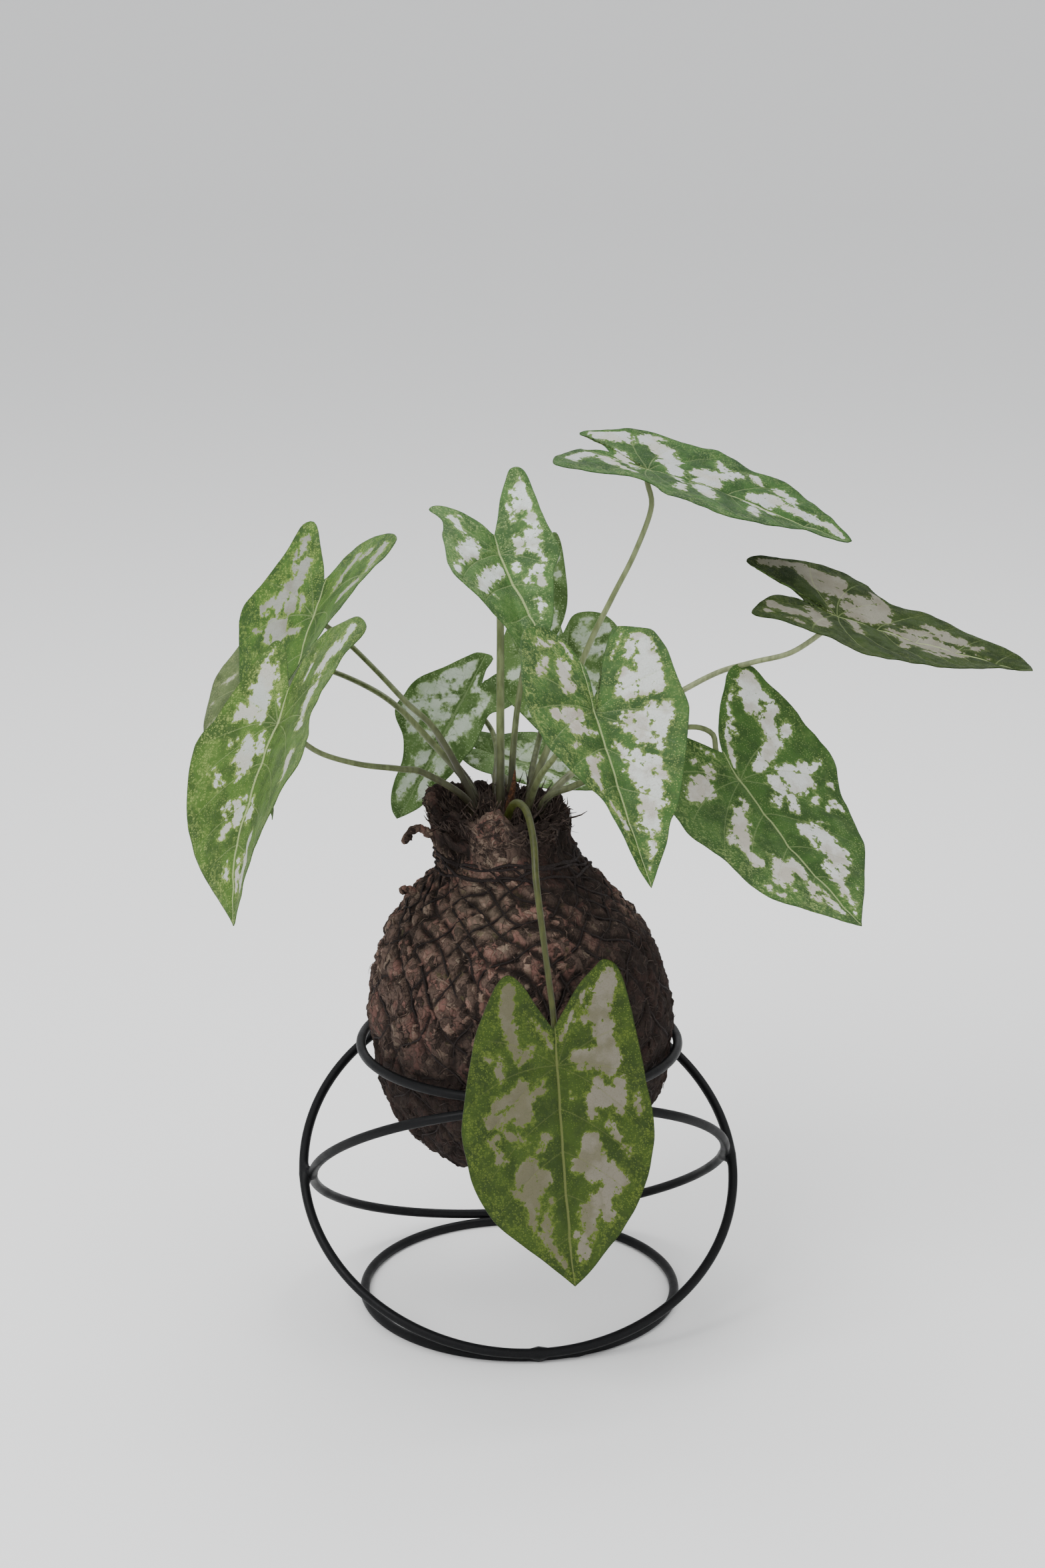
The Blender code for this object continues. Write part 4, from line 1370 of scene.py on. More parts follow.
    def build_soil(self, shop: Shop) -> None:
        """Make the crumbly soil and the tuber that sits in it."""
        inner = self.line - self.out * (self.wall + 0.8)
        inner = inner[self.line[:, 1] < self.neck_z][::6]
        inner[0] = (0.0, inner[0][1])
        top = np.array([(k, 174.5 + 5.0 * (1 - k / 20.0))
                        for k in np.linspace(20.5, 0, 30)])
        whole = np.vstack([inner, top])
        bm, ring, _, rows = self.turned(shop, whole, self.crumb_steps)
        crumb = fractal(rows, 4.0, 4, 2.0)
        rows[:, 2] += np.where(ring >= len(inner), crumb * 1.3, 0.0)
        mesh = shop.mould(bm, rows, "soil")
        shop.finish("soil", mesh, "soil", EarthFinish().make("soil"),
                    stands_for="soil_ball")

        bm = bmesh.new()
        bmesh.ops.create_uvsphere(bm, u_segments=72, v_segments=40, radius=1.0)
        mesh = shop.mesh(bm, "tuber_corm")
        rows = shop.coords(mesh) * TUBER_SIZE
        scar = 0.35 * np.sin(rows[:, 2] * 2.6)
        bump = fractal(rows, 7.0, 3, 6.0) * 0.7 + scar
        rows *= (1 + bump / TUBER_SIZE[0])[:, None]
        skin = EarthFinish(srgb(62, 44, 32), srgb(122, 92, 66), 0.35, 0.8, 0.6)
        shop.finish("tuber_corm", mesh, "tuber_skin",
                    skin.make("tuber_corm"), rows=rows + TUBER_AT,
                    stands_for="tuber")

    def build(self, shop: Shop) -> None:
        """Make every piece of the ball."""
        self.build_wrap(shop)
        self.build_net(shop)
        self.build_tie(shop)
        self.build_chips(shop)
        self.build_fibres(shop)
        self.build_curls(shop)
        self.build_packing(shop)
        self.build_soil(shop)


# --------------------------------------------------------------------- leaves
HALF_LEAF: Edge = (
    (-0.17, 0.0), (-0.27, 0.115), (-0.38, 0.25), (-0.47, 0.37), (-0.515, 0.50),
    (-0.49, 0.62), (-0.39, 0.735), (-0.24, 0.83), (-0.05, 0.92), (0.13, 0.99),
    (0.28, 1.0), (0.43, 0.93), (0.57, 0.78), (0.71, 0.57), (0.84, 0.33),
    (0.94, 0.12), (1.0, 0.0))


def half_leaf(length: float, wide: float, lobe: float = 1.0) -> Edge:
    """Half of a plain arrow-shaped outline.

    Args:
        length: from the stalk to the tip.
        wide: from the midrib to the edge, negative on the right.
        lobe: how long the lobe behind the stalk is.

    Returns:
        Points from the notch round to the tip.
    """
    return tuple((a * length * (lobe if a < -0.17 else 1.0), t * wide)
                 for a, t in HALF_LEAF)


def crown_point(root: Flat) -> Point:
    """Where a stalk leaves the tuber, a little under its skin."""
    wide, _, tall = TUBER_SIZE
    off = np.hypot(root[0] - TUBER_AT[0], root[1])
    return (*root, TUBER_AT[2] - 1.0
            + tall * max(1 - (off / wide) ** 2, 0.0) ** 0.5)


@dataclass
class Leaf:
    """A caladium blade on its stalk."""

    name: str
    joint: Point
    turn: Point
    length: float
    left: Edge
    right: Edge
    root: Flat
    path: tuple[Point, ...]
    strokes: Marks = ()
    fold: Flat = (8.0, 8.0)
    curl: float = 8.0
    twist: float = 0.0
    hub: Flat = (0.0, 0.0)
    rib: Edge = ((0.0, 0.0), (1.0, 0.0))
    stalk: Flat = (1.5, 1.0)
    finish: LeafFinish = LeafFinish()
    skin: StalkFinish = StalkFinish()
    rear: bool = False
    ripple: float = 0.8
    spacing: float = 15.0
    thick: float = 0.35
    seed: float = 1.0

    def axes(self) -> tuple[Rows, Rows, Rows]:
        """Axes of the blade: ahead, to its left and up out of its face."""
        head, droop, roll = (radians(a) for a in self.turn)
        ahead = np.array([cos(head) * cos(droop), sin(head) * cos(droop),
                          -sin(droop)])
        left = np.array([-sin(head), cos(head), 0.0])
        up = np.cross(ahead, left)
        return (ahead, left * cos(roll) + up * sin(roll),
                up * cos(roll) - left * sin(roll))

    def bend(self, flat: Rows, lift: Rows) -> Rows:
        """Bend flat points of the blade into place.

        Args:
            flat: rows of length along and distance across.
            lift: height above the blade's middle surface.

        Returns:
            Rows of millimetres.
        """
        along, across = flat.T
        ahead, left, up = self.axes()
        rate = radians(self.curl) / self.length or 1e-6
        nose = rate * np.maximum(along, 0)
        run = np.where(along < 0, along, np.sin(nose) / rate)
        drop = -(1 - np.cos(nose)) / rate
        fold = np.radians(np.where(across >= 0, *self.fold))
        wing = (np.hypot(across, 1.5) - 1.5) * np.sin(fold) + lift
        side = across * np.cos(fold)
        roll = np.radians(self.twist) * along / self.length
        side, wing = (side * np.cos(roll) - wing * np.sin(roll),
                      side * np.sin(roll) + wing * np.cos(roll))
        return (np.array(self.joint)
                + np.outer(run + np.sin(nose) * wing, ahead)
                + np.outer(side, left)
                + np.outer(drop + np.cos(nose) * wing, up))

    def outline(self, steps: int) -> Rows:
        """Edge of the blade, from the notch round its right side."""
        halves = [even_line(smooth_line(list(half), 8), steps // 2 + 1)
                  for half in (self.right, self.left)]
        return np.vstack([halves[0][:-1], halves[1][:0:-1]])

    def from_edge(self, flat: Rows, edge: Rows) -> Rows:
        """Distance of each point from the blade's edge."""
        start, way = edge, np.roll(edge, -1, 0) - edge
        square = (way ** 2).sum(1) + 1e-9
        best = np.full(len(flat), 99.0)
        for a, w, s in zip(start, way, square):
            t = np.clip(((flat - a) @ w) / s, 0, 1)
            best = np.minimum(best, np.linalg.norm(
                flat - a - t[:, None] * w, axis=1))
        return best

    def paleness(self, flat: Rows) -> Rows:
        """How far inside the pale blotches each point is."""
        best = np.full(len(flat), -8.0)
        for *ends, radius in self.strokes:
            a, b, c, d = (ends * 2)[:4]
            start, way = np.array([a, b]), np.array([c - a, d - b])
            t = np.clip((flat - start) @ way / (way @ way + 1e-9), 0, 1)
            gap = np.linalg.norm(flat - start - t[:, None] * way, axis=1)
            best = np.maximum(best, radius - gap)
        return np.clip(best, -8, 8)

    def veins(self, flat: Rows) -> tuple[Rows, Rows, Rows]:
        """Place of each point among the veins.

        Args:
            flat: rows of length along and distance across.

        Returns:
            Distance from the midrib, the side veins' phase, whole on a
            vein, and the gap between two side veins.
        """
        line = np.array(self.rib, float)
        rib = flat[:, 1] - np.interp(flat[:, 0], *line.T)
        u, v = flat[:, 0] - self.hub[0], np.abs(rib)
        ahead = u - 0.45 * v - 0.012 * v * v
        turned = np.degrees(np.arctan2(v, u - 0.012 * v * v)) - 65.8
        phase = np.where(ahead > 0, ahead / self.spacing, -turned / 30.5)
        gap = np.where(ahead > 0, self.spacing * 0.91,
                       np.hypot(u, v) * radians(30.5))
        return rib, phase, gap

    def relief(self, flat: Rows, edge: Rows, rib: Rows,
               phase: Rows, gap: Rows) -> Rows:
        """Quilting between the veins and the ripple of the edge."""
        side = np.abs(phase - np.rint(phase)) * gap
        inside = ease(edge, 0.5, 9.0)
        where = np.column_stack([flat, np.full(len(flat), self.seed * 9)])
        lift = -0.65 * bell(rib, 1.9) * (0.35 + 0.65 * inside)
        lift += -0.48 * bell(side, 2.1) * inside
        lift += 0.9 * fractal(where, 24.0, 2) * ease(np.hypot(
            flat[:, 0], flat[:, 1]), 3, 22)
        lift += 0.22 * fractal(where, 6.0, 3, 4.0)
        wave = fractal(where, 13.0, 2, 7.0)
        return lift + self.ripple * wave * (1 - ease(edge, 0.0, 8.0))

    def build_blade(self, shop: Shop) -> None:
        """Make the blade, with its upper and lower face."""
        rings, steps = (24, 136) if self.rear else (38, 208)
        bm, ring, turn = shop.disc(rings, steps)
        border = self.outline(steps)
        hub = np.array(self.hub)
        reach = 1 - (1 - ring / rings) ** 1.2
        flat = hub + (border[np.rint(turn * steps).astype(int) % steps]
                      - hub) * reach[:, None]
        edge = self.from_edge(flat, border)
        rib, phase, gap = self.veins(flat)
        rows = self.bend(flat, self.relief(flat, edge, rib, phase, gap))
        name = "leaf_" + self.name
        mesh = shop.sheet(bm, name)
        for key, values in (("edge", edge), ("rib", rib), ("vein", phase),
                            ("gap", gap), ("pale", self.paleness(flat))):
            shop.note(mesh, key, values)
        corners = np.empty(len(mesh.loops), int)
        mesh.loops.foreach_get("vertex_index", corners)
        layer = mesh.uv_layers.new(name="UVMap")
        layer.data.foreach_set("uv", ((flat[corners] + UV_SHIFT)
                                      / UV_SPAN).ravel())
        piece = shop.finish(
            name, mesh, "blade_rear" if self.rear else "blade",
            self.finish.make(name + "_face", self.seed),
            self.finish.under().make(name + "_back", self.seed),
            rows=rows, stands_for="blade_" + self.name)
        wall = piece.modifiers.new("thickness", "SOLIDIFY")
        wall.thickness = self.thick * MM
        wall.offset = -1.0
        wall.material_offset = 1

    def build_stalk(self, shop: Shop) -> None:
        """Make the stalk from the tuber to the back of the blade."""
        up = self.axes()[2]
        top = np.array(self.joint) - up * (self.thick + 1.0)
        below = np.array(self.joint) - up * 3.0 \
            + (np.array(self.path[-1]) - self.joint) * 0.18
        line = even_line(smooth_line(
            [crown_point(self.root), *self.path, below, top], 10), 72)
        share = np.linspace(0, 1, len(line))
        wide, thin = self.stalk
        radius = wide + (thin - wide) * np.minimum(1.0, share * 1.4)
        radius += 0.9 * np.exp(-share / 0.06)
        radius[-1] *= 0.6
        mesh = shop.stalk("stalk_" + self.name, line, radius)
        shop.finish("petiole_" + self.name, mesh, "stalk",
                    self.skin.make("petiole_" + self.name),
                    stands_for="stalk_" + self.name)

    def build(self, shop: Shop) -> None:
        """Make the leaf."""
        self.build_blade(shop)
        self.build_stalk(shop)


def streaks(length: float, wide: float, seed: int) -> Marks:
    """Pale streaks between the veins of a leaf seen from behind.

    Args:
        length, wide: size of the blade.
        seed: choice of streaks.

    Returns:
        Strokes on the flat blade.
    """
    rng = np.random.default_rng(seed)
    marks = []
    for side in (-1, 1):
        for start in (0.05, 0.22, 0.40, 0.58):
            for step in (0.22, 0.5, 0.75):
                along = start + step * 0.30 + rng.normal(0, 0.02)
                if rng.random() < 0.25:
                    continue
                across = side * wide * step * (1.05 - start)
                run = rng.uniform(0.04, 0.12) * length
                marks.append((along * length, across, along * length + run,
                              across * 1.35, rng.uniform(0.8, 2.2)))
        for angle in (105, 130, 152):
            a = radians(angle + rng.normal(0, 4))
            for reach in (0.22, 0.42):
                r = reach * length
                marks.append((r * cos(a), side * r * sin(a),
                              (r + 4) * cos(a), side * (r + 4) * sin(a),
                              rng.uniform(0.8, 2.2)))
    return tuple(marks)


LEFT_FRONT_LEFT: Edge = (
    (-14, -1), (-20, 0), (-28.5, 2.5), (-32, 9), (-35, 16), (-36, 23.5),
    (-35, 31), (-31, 37.5), (-26.5, 41), (-21.5, 38.5), (-16, 35), (-10, 34.5),
    (-1, 33.5), (9, 36), (18.5, 44), (26, 49), (31, 49), (36, 45), (42, 38),
    (50, 29), (60, 17.5), (67, 9), (74, 0))

LEFT_FRONT_RIGHT: Edge = (
    (-14, -1), (-20, -3.5), (-28, -7), (-31.5, -9.5), (-32.5, -12),
    (-30, -14.5), (-24, -17.5), (-16, -22), (-8, -26.5), (0, -30.5), (3, -33),
    (8, -35.5), (15, -35.8), (22, -35.5), (30, -34.5), (38, -33), (45, -29.8),
    (51, -25), (57, -19), (62, -13.5), (67, -8), (71, -3), (74, 0))

LEFT_FRONT_PALE: Marks = (
    (-20, -12, -8, -11, 4), (-8, -9, -3, -9, 3), (-14, -14, -4, -14, 3.5),
    (-5, -18, -3, -20, 3), (-31, -12, -26, -13, 1.5), (-24, -9, -6, -2, 0.8),
    (11, 0, 11, -6, 1.2), (5, -6, 9, -5, 2), (9, -10, 17, -10, 3.5),
    (6, -12, 14, -14, 2.5), (17, -11, 21, -12, 1.8), (7, -17, 8, -19, 1),
    (17, -23, 18, -27, 1.5), (19, -22, 24, -21, 1.5), (23, -19, 1.5),
    (29, -4, 36, -3, 2.5), (31, -8, 37, -8, 3), (38, -6, 42, -6, 1.3),
    (31, -13, 32, -15, 2), (38, -12, 41, -14, 2.5), (35, -15, 1.5),
    (50, -2, 62, -2, 2), (53, -8, 57, -8, 1.8), (55, -10, 1),
    (-30, 30, -22, 28, 3), (-24, 25, -17, 20, 4), (-15, 22, -8, 22, 2),
    (-7, 20, 10, 26, 3), (22, 30, 28, 32, 4), (45, 5, 60, 5, 4),
    (-25, 10, -15, 9, 1.5))

LEFT_REAR_LEFT: Edge = (
    (-15, -1), (-19.5, 3.5), (-24.5, 10), (-29, 18), (-31, 25), (-31, 34),
    (-29, 40), (-26, 42.5), (-19, 43), (-12, 42.5), (-1.5, 43.5), (10, 43),
    (20, 42), (30, 40), (40, 35.5), (50, 28), (60, 19), (70, 8.5), (78, 0))

LEFT_REAR_RIGHT: Edge = (
    (-15, -1), (-20, -3), (-27, -6.5), (-33, -9.5), (-36.5, -13),
    (-34.5, -16.5), (-30, -18.5), (-23, -21), (-16, -25), (-10, -29),
    (-6, -33.5), (-2, -37), (3, -38.7), (8, -38), (18, -37), (28, -35.5),
    (38, -32), (48, -26.5), (58, -18.5), (68, -9.5), (78, 0))

LEFT_REAR_PALE: Marks = (
    (-29, -13, -24, -14, 2.3), (-24, -16, -22, -16, 2),
    (-20, -11, -15, -12, 3), (-18, -15, -16, -15, 2), (-12, -13, -3, -13, 3.5),
    (-7, -8, -2, -7, 2), (-10, -17, -3, -19, 3.5), (-5, -22, -1, -26, 2.5),
    (6, -6, 7, -11, 2), (5, -15, 10, -16, 4.5), (4, -20, 9, -22, 3),
    (7, -26, 7, -30, 1.5), (16, -28, 1), (-24, 36, -15, 36, 3),
    (-24, 28, -21, 25, 2), (-8, 33, -3, 28, 3), (-22, 20, -10, 13, 2.5))

TOP_MIDDLE_LEFT: Edge = (
    (-9, 0), (-16, 3), (-24, 6), (-31, 10), (-35, 13), (-34, 16.5),
    (-30, 18.3), (-20, 19), (-8, 19.5), (0, 21), (6, 21.5), (10, 19.5),
    (14, 17), (20, 15.5), (28, 13.5), (36, 11), (46, 5.5), (54, 0))

TOP_MIDDLE_RIGHT: Edge = (
    (-9, 0), (-14, -6), (-17, -12), (-18.5, -18), (-18, -23), (-15, -26.8),
    (-12, -24.5), (-9, -23), (-4, -24.5), (0, -26.5), (6, -28), (13, -30),
    (20, -32), (26, -33), (30, -29), (34, -22), (40, -14), (47, -7), (54, 0))

TOP_MIDDLE_PALE: Marks = (
    (-31, 16, -28, 13, 1), (-26, 15, -17, 15, 3), (-25, 12, -17, 11.5, 2.5),
    (-22, 8, -13, 8, 1), (-11, 15, -4, 15.5, 2.5), (-5, 12, 2, 13, 3),
    (-4, 8, 1, 7, 2.5), (7, 15, 12, 13, 2), (10, 12, 18, 11.5, 2),
    (12, 9, 15, 7, 2), (7, 4, 10, 4, 1.8), (24, 9, 32, 8, 1.2),
    (27, 11, 34, 11, 1), (-12, -18, -8, -16, 2.5), (-15, -14, 1.5),
    (0, -12, 5, -15, 4), (3, -17, 9, -20, 3.5), (11, -20, 14, -24, 1.5),
    (18, -27, 22, -29, 1.8), (9, -2, 13, -7, 3), (14, -9, 19, -13, 3.5),
    (20, -15, 25, -18, 3), (26, -10, 1.5))

TOP_RIGHT_LEFT: Edge = (
    (-15.5, 4), (-19, 8), (-24, 10.5), (-29, 13), (-28, 17), (-24, 20.5),
    (-18, 24), (-12, 29), (-6, 31.5), (0, 32), (5, 31), (12, 30), (20, 31),
    (26, 30), (31, 28), (36, 27), (42, 28), (48, 27.5), (54, 24.5), (60, 19.5),
    (66, 14), (72, 9.5), (76, 6.5), (78, 2))

TOP_RIGHT_RIGHT: Edge = (
    (-15.5, 4), (-20, 3), (-24, 0), (-26.5, -5), (-28.5, -12), (-30, -20),
    (-31, -28), (-30, -36), (-28, -40), (-25, -38), (-20, -34), (-15, -32.5),
    (-11, -29), (-7, -25.5), (-3, -24.5), (2, -25.5), (7, -29), (9, -32),
    (12, -35), (15, -34), (20, -33.5), (25, -35.5), (30, -37), (35, -35),
    (40, -31.5), (46, -26), (52, -20), (58, -14), (64, -9.5), (70, -8),
    (75, -5), (78, 2))

TOP_RIGHT_PALE: Marks = (
    (-26, 17, -14, 22, 3.5), (-22, 15, -13, 19, 3), (-5, 27, -1, 29, 2),
    (-5, 24, 3, 20, 3.5), (0, 18, 7, 13, 3.5), (5, 10, 10, 3, 3),
    (8, 3, 13, -8, 1.5), (14, -12, 14, -20, 2), (18, 8, 26, 12, 4),
    (23, 22, 24, 18, 1.5), (27, 17, 31, 17, 2.5), (20, 3, 24, 3, 4),
    (21, -6, 24, -14, 3.5), (36, 22, 39, 18, 2), (47, 18, 52, 14, 2.5),
    (44, 10, 50, 9, 3), (40, 5, 44, 5, 4), (52, 8, 62, 7, 3),
    (62, 6, 72, 5, 2.5), (70, 3, 76, 2, 1.5), (40, -2, 47, -2, 3),
    (41, -8, 42, -16, 2.5), (-26, -22, -22, -5, 2.5), (-16, -5, -12, -12, 3),
    (-8, -12, -4, -15, 2), (-12, 5, -6, -4, 3))

MIDDLE_RIGHT_LEFT: Edge = (
    (-9, -3), (-15.5, 1), (-24, 4), (-31, 7.5), (-36, 10.5), (-36, 14),
    (-34, 18.5), (-31, 23), (-27.5, 25), (-22, 26.5), (-15, 27), (-4.5, 28),
    (1.5, 28.5), (5.5, 27.5), (14.5, 24.5), (26, 20.5), (38.5, 15.5),
    (43.5, 12), (51.5, 8.5), (60.5, 3.5), (67, 0))

MIDDLE_RIGHT_RIGHT: Edge = (
    (-9, -3), (-12, -3), (-21, -3), (-27.5, -6), (-33.5, -10), (-36.5, -14),
    (-37, -18.5), (-35, -24), (-32, -26.5), (-27, -29), (-20, -31),
    (-8, -34.5), (2, -35.5), (12, -34), (21, -31), (26.5, -25.5),
    (31.5, -19.5), (35, -13), (43, -9.5), (53, -6.5), (61, -3.5), (67, 0))

MIDDLE_RIGHT_PALE: Marks = (
    (-30, 19, -24, 20, 3.5), (-28, 15, -24, 14, 2.5), (-33, 13, -20, 4, 1),
    (-20, 21, -8, 20, 3), (-20, 18, -9, 16, 4), (-16, 11, -9, 10, 4),
    (-12, 7, -9, 6, 2), (0, 20, 4, 20, 3), (-1, 16, 8, 17, 3.5),
    (8, 18, 15, 15, 2), (2, 12, 9, 11, 4), (0, 8, 5, 7, 3), (3, 5, 2, 1, 1.2),
    (9, 13, 12, 13, 2), (8, 21, 0.7), (9, 22, 0.7), (10, 1, 18, 4, 1.8),
    (17, 7, 22, 10, 3.5), (20, 12, 28, 13, 2.5), (22, 5, 28, 8, 4),
    (28, 10, 36, 9, 3.5), (33, 7, 44, 6, 3.5), (36, 3, 46, 3, 2),
    (44, 5, 55, 3, 2.3), (55, 3, 62, 1, 1.2), (-27, -3, -12, -2, 1.5),
    (-34, -12, -26, -8, 2), (-21, -13, -11, -14, 3.5), (-9, -16, 2),
    (-22, -20, -15, -25, 2), (-30, -15, -28, -22, 2.5), (0, -12, 2, -12, 3),
    (7, -7, 7, -14, 2), (1, -16, 7, -16, 4.5), (2, -22, 5, -24, 3),
    (14, -17, 16, -20, 1.2), (18, -8, 19, -11, 2.5), (19, -13, 28, -13, 3),
    (28, -12, 33, -12, 2), (36, -9, 42, -6, 2), (42, -5, 46, -6, 2),
    (37, -11, 1.5), (60, -3, 65, -3, 1.5))

FAR_RIGHT_LEFT: Edge = (
    (-13, 0), (-14, 3), (-18, 6.5), (-24, 9), (-30, 11.5), (-36, 14),
    (-35, 18.5), (-31, 22), (-25, 26), (-18, 29.5), (-10, 33), (-2, 35.5),
    (6, 36.3), (12, 35.5), (15, 32.5), (18, 29.5), (21, 27.5), (25, 27),
    (31, 28), (37, 28.5), (43, 27), (49, 23.5), (55, 20), (62, 17), (68, 15),
    (72, 12), (74, 7), (74, 0))

FAR_RIGHT_RIGHT: Edge = (
    (-13, 0), (-15, -1.5), (-20, -2), (-24, -5), (-27, -9), (-30, -15),
    (-32.5, -22), (-34, -29), (-32, -31), (-28, -30), (-20, -29.7),
    (-12, -30.5), (-5, -32), (0, -34.5), (5, -37), (10, -37.5), (16, -36),
    (22, -34), (29, -31), (36, -28.5), (43, -25), (49, -21), (54, -16),
    (59, -11.5), (64, -7.5), (69, -3.5), (74, 0))

FAR_RIGHT_PALE: Marks = (
    (-31, 19, -21, 25, 3), (-16, 26, -10, 20, 3.5), (-10, 25, 0, 25, 4),
    (-8, 18, 1, 18, 3.5), (-4, 10, -3, 0, 1), (8, 21, 6, 17, 2),
    (16, 27, 18, 22, 3), (9, 18, 17, 17, 4.5), (5, 10, 18, 11, 4),
    (5, 4, 14, 5, 3), (5, -2, 7, -13, 2), (20, -1, 28, 2, 3),
    (28, 6, 34, 8, 3), (36, 14, 41, 13, 3), (41, 8, 48, 10, 3),
    (30, 0, 44, 0, 4), (26, -6, 44, -5, 3), (24, -13, 25, -9, 1.5),
    (33, -12, 40, -10, 2), (52, 6, 56, 9, 1.5), (46, -2, 58, 0, 1.5),
    (-28, -14, -21, -17, 3.5), (-20, -15, -14, -15, 3),
    (-10, -8, -7, -18, 3.5), (-28, -23, 2), (-20, -25, -14, -24, 1))

RIGHT_FRONT_LEFT: Edge = (
    (-12, 0), (-20, 4.5), (-29, 11.5), (-35, 18), (-40, 23), (-41.5, 28),
    (-39, 33), (-36, 34.5), (-28, 37), (-20, 39.8), (-10, 41), (-5, 42.5),
    (3, 44), (8, 43.5), (13, 41), (18, 39), (25, 37.5), (33, 35), (40, 32),
    (46, 27), (52, 20.5), (58, 14), (64, 6.5), (70, 0))

RIGHT_FRONT_RIGHT: Edge = (
    (-12, 0), (-22, -10), (-28, -17), (-30.5, -23.5), (-29, -28.5),
    (-24, -33.5), (-15, -36.5), (-5, -38), (8, -38.5), (14, -38.5),
    (20, -36.5), (26, -33.5), (33, -32.5), (40, -32), (47, -30), (52, -26),
    (57, -20), (62, -13), (66, -7), (70, 0))

RIGHT_FRONT_PALE: Marks = (
    (-36, 30, -26, 31, 3), (-34, 27, -25, 25, 4), (-30, 23, -24, 22, 2.5),
    (-39, 28, 1.5), (-37, 22, -30, 17, 1.3), (-29, 15, -18, 9, 1.5),
    (-20, 9, -12, 4, 1.8), (-12, 4, -4, 1, 1.5), (-21, 32, -18, 26, 3),
    (-12, 33, -10, 30, 3), (-16, 27, -9, 25, 3.5), (-9, 24, -5, 17, 3.5),
    (-5, 16, -2, 11, 2.5), (4, 37, 6, 32, 2), (5, 29, 10, 27, 3.5),
    (4, 21, 9, 22, 5), (5, 14, 9, 14, 3.5), (13, 17, 17, 14, 2.5),
    (10, 9, 12, 6, 1.5), (12, 11, 13, 9, 2), (14, 37, 2),
    (20, 33, 24, 35, 1.8), (21, 31, 22, 29, 1.5), (17, 27, 18, 24, 1.5),
    (26, 12, 28, 12, 3.5), (29, 17, 34, 18, 4.5), (35, 17, 42, 17, 4.5),
    (40, 22, 2), (42, 14, 47, 13, 3), (33, 11, 37, 13, 2), (26, 22, 1.2),
    (43, 9, 50, 8, 3), (50, 8, 56, 6, 2.3), (55, 4, 57, 3, 1.3),
    (58, 5, 61, 4, 1.5), (62, 7, 66, 2, 1.8), (62, 3, 68, 0, 1.5),
    (55, 13, 0.8), (60, 11, 0.6), (38, 6, 0.8), (-19, -8, -11, -3, 1.3),
    (-8, -10, -5, -12, 2.5), (-5, -16, 0, -17, 4), (-2, -22, 0, -24, 4),
    (-13, -14, 1.5), (8, -5, 12, -7, 1.5), (11, -11, 16, -12, 3),
    (15, -14, 22, -17, 3.5), (19, -19, 22, -24, 2.5), (26, -21, 33, -20, 2.8),
    (24, -20, 3), (33, -20, 34, -23, 1.5), (33, -12, 35, -10, 2),
    (37, -6, 43, -6, 3), (38, -12, 42, -14, 4.5), (42, -19, 44, -18, 2.5),
    (44, -6, 52, -5, 2), (48, -16, 1), (45, -26, 49, -23, 1.8),
    (50, -8, 55, -9, 2.3), (55, -5, 62, -3, 1.8), (57, -7, 60, -5, 1.5))

HANGING_FRONT_LEFT: Edge = (
    (-13, 0), (-20, 5), (-28, 10.5), (-33, 16), (-36, 20), (-33, 25),
    (-24, 28), (-15, 30), (-5, 31.5), (10, 33.5), (20, 35), (30, 34.5),
    (40, 32), (50, 27), (60, 19.5), (66, 13.5), (72, 7), (77, 0))

HANGING_FRONT_RIGHT: Edge = (
    (-13, 0), (-16, -2), (-22, -6), (-30, -11), (-33.5, -16), (-30, -20.5),
    (-20, -26), (-12, -29.5), (0, -33), (10, -35.5), (20, -37), (30, -35.5),
    (38, -34), (46, -30.5), (53, -26), (60, -18.5), (66, -11.5), (72, -5),
    (77, 0))

HANGING_FRONT_PALE: Marks = (
    (-28, 21, -17, 17, 4.5), (-18, 14, -15, 12, 2), (-26, 13, -9, 2, 1.5),
    (-33, 23, -29, 23, 2.5), (-11, 19, 1, 20, 5), (-3, 17, -2, 9, 4),
    (0, 13, 1, 22, 3), (14, 29, 19, 30, 2), (8, 23, 17, 23, 3),
    (12, 22, 13, 14, 4.5), (6, 15, 19, 12, 2.5), (22, 19, 33, 24, 2),
    (28, 11, 38, 11, 4.5), (36, 13, 42, 20, 4), (40, 18, 45, 17, 3),
    (30, 9, 36, 6, 3), (46, 14, 54, 15, 3), (48, 12, 53, 8, 4),
    (58, 8, 62, 5, 3), (62, 6, 68, 4, 2.5), (59, 3, 60, 2, 1.5), (11, 5, 1),
    (3, 5, 1), (-17, -7, -6, -1, 1.2), (-28, -16, -20, -17, 3.5),
    (-18, -17, -5, -14, 3), (-7, -9, -3, -13, 2), (-6, -26, -5, -24, 1.5),
    (-4, -21, 2, -21, 2), (8, -7, 9, -14, 2.5), (8, -13, 15, -14, 4.5),
    (10, -16, 12, -24, 3), (14, -16, 17, -26, 3), (4, -5, 6, -6, 1),
    (20, -22, 24, -26, 2), (24, -26, 31, -23, 2), (22, -19, 25, -14, 2),
    (24, -6, 28, -8, 2), (38, -7, 40, -9, 3.5), (34, -13, 47, -13, 4),
    (36, -16, 42, -18, 2.5), (48, -14, 53, -13, 2), (47, -5, 50, -7, 1.5),
    (52, -8, 60, -8, 2.5), (58, -11, 1.5), (62, -7, 70, -3, 1.8))


REAR_LEFT_LEFT: Edge = (
    (-13, 4), (-20, 8), (-26, 14), (-24, 20), (-16, 21), (-8, 17), (-4, 13),
    (2, 13), (10, 13.5), (16, 12), (22, 11), (28, 9), (34, 7.5), (40, 5.5),
    (45, 2), (48.5, -1))

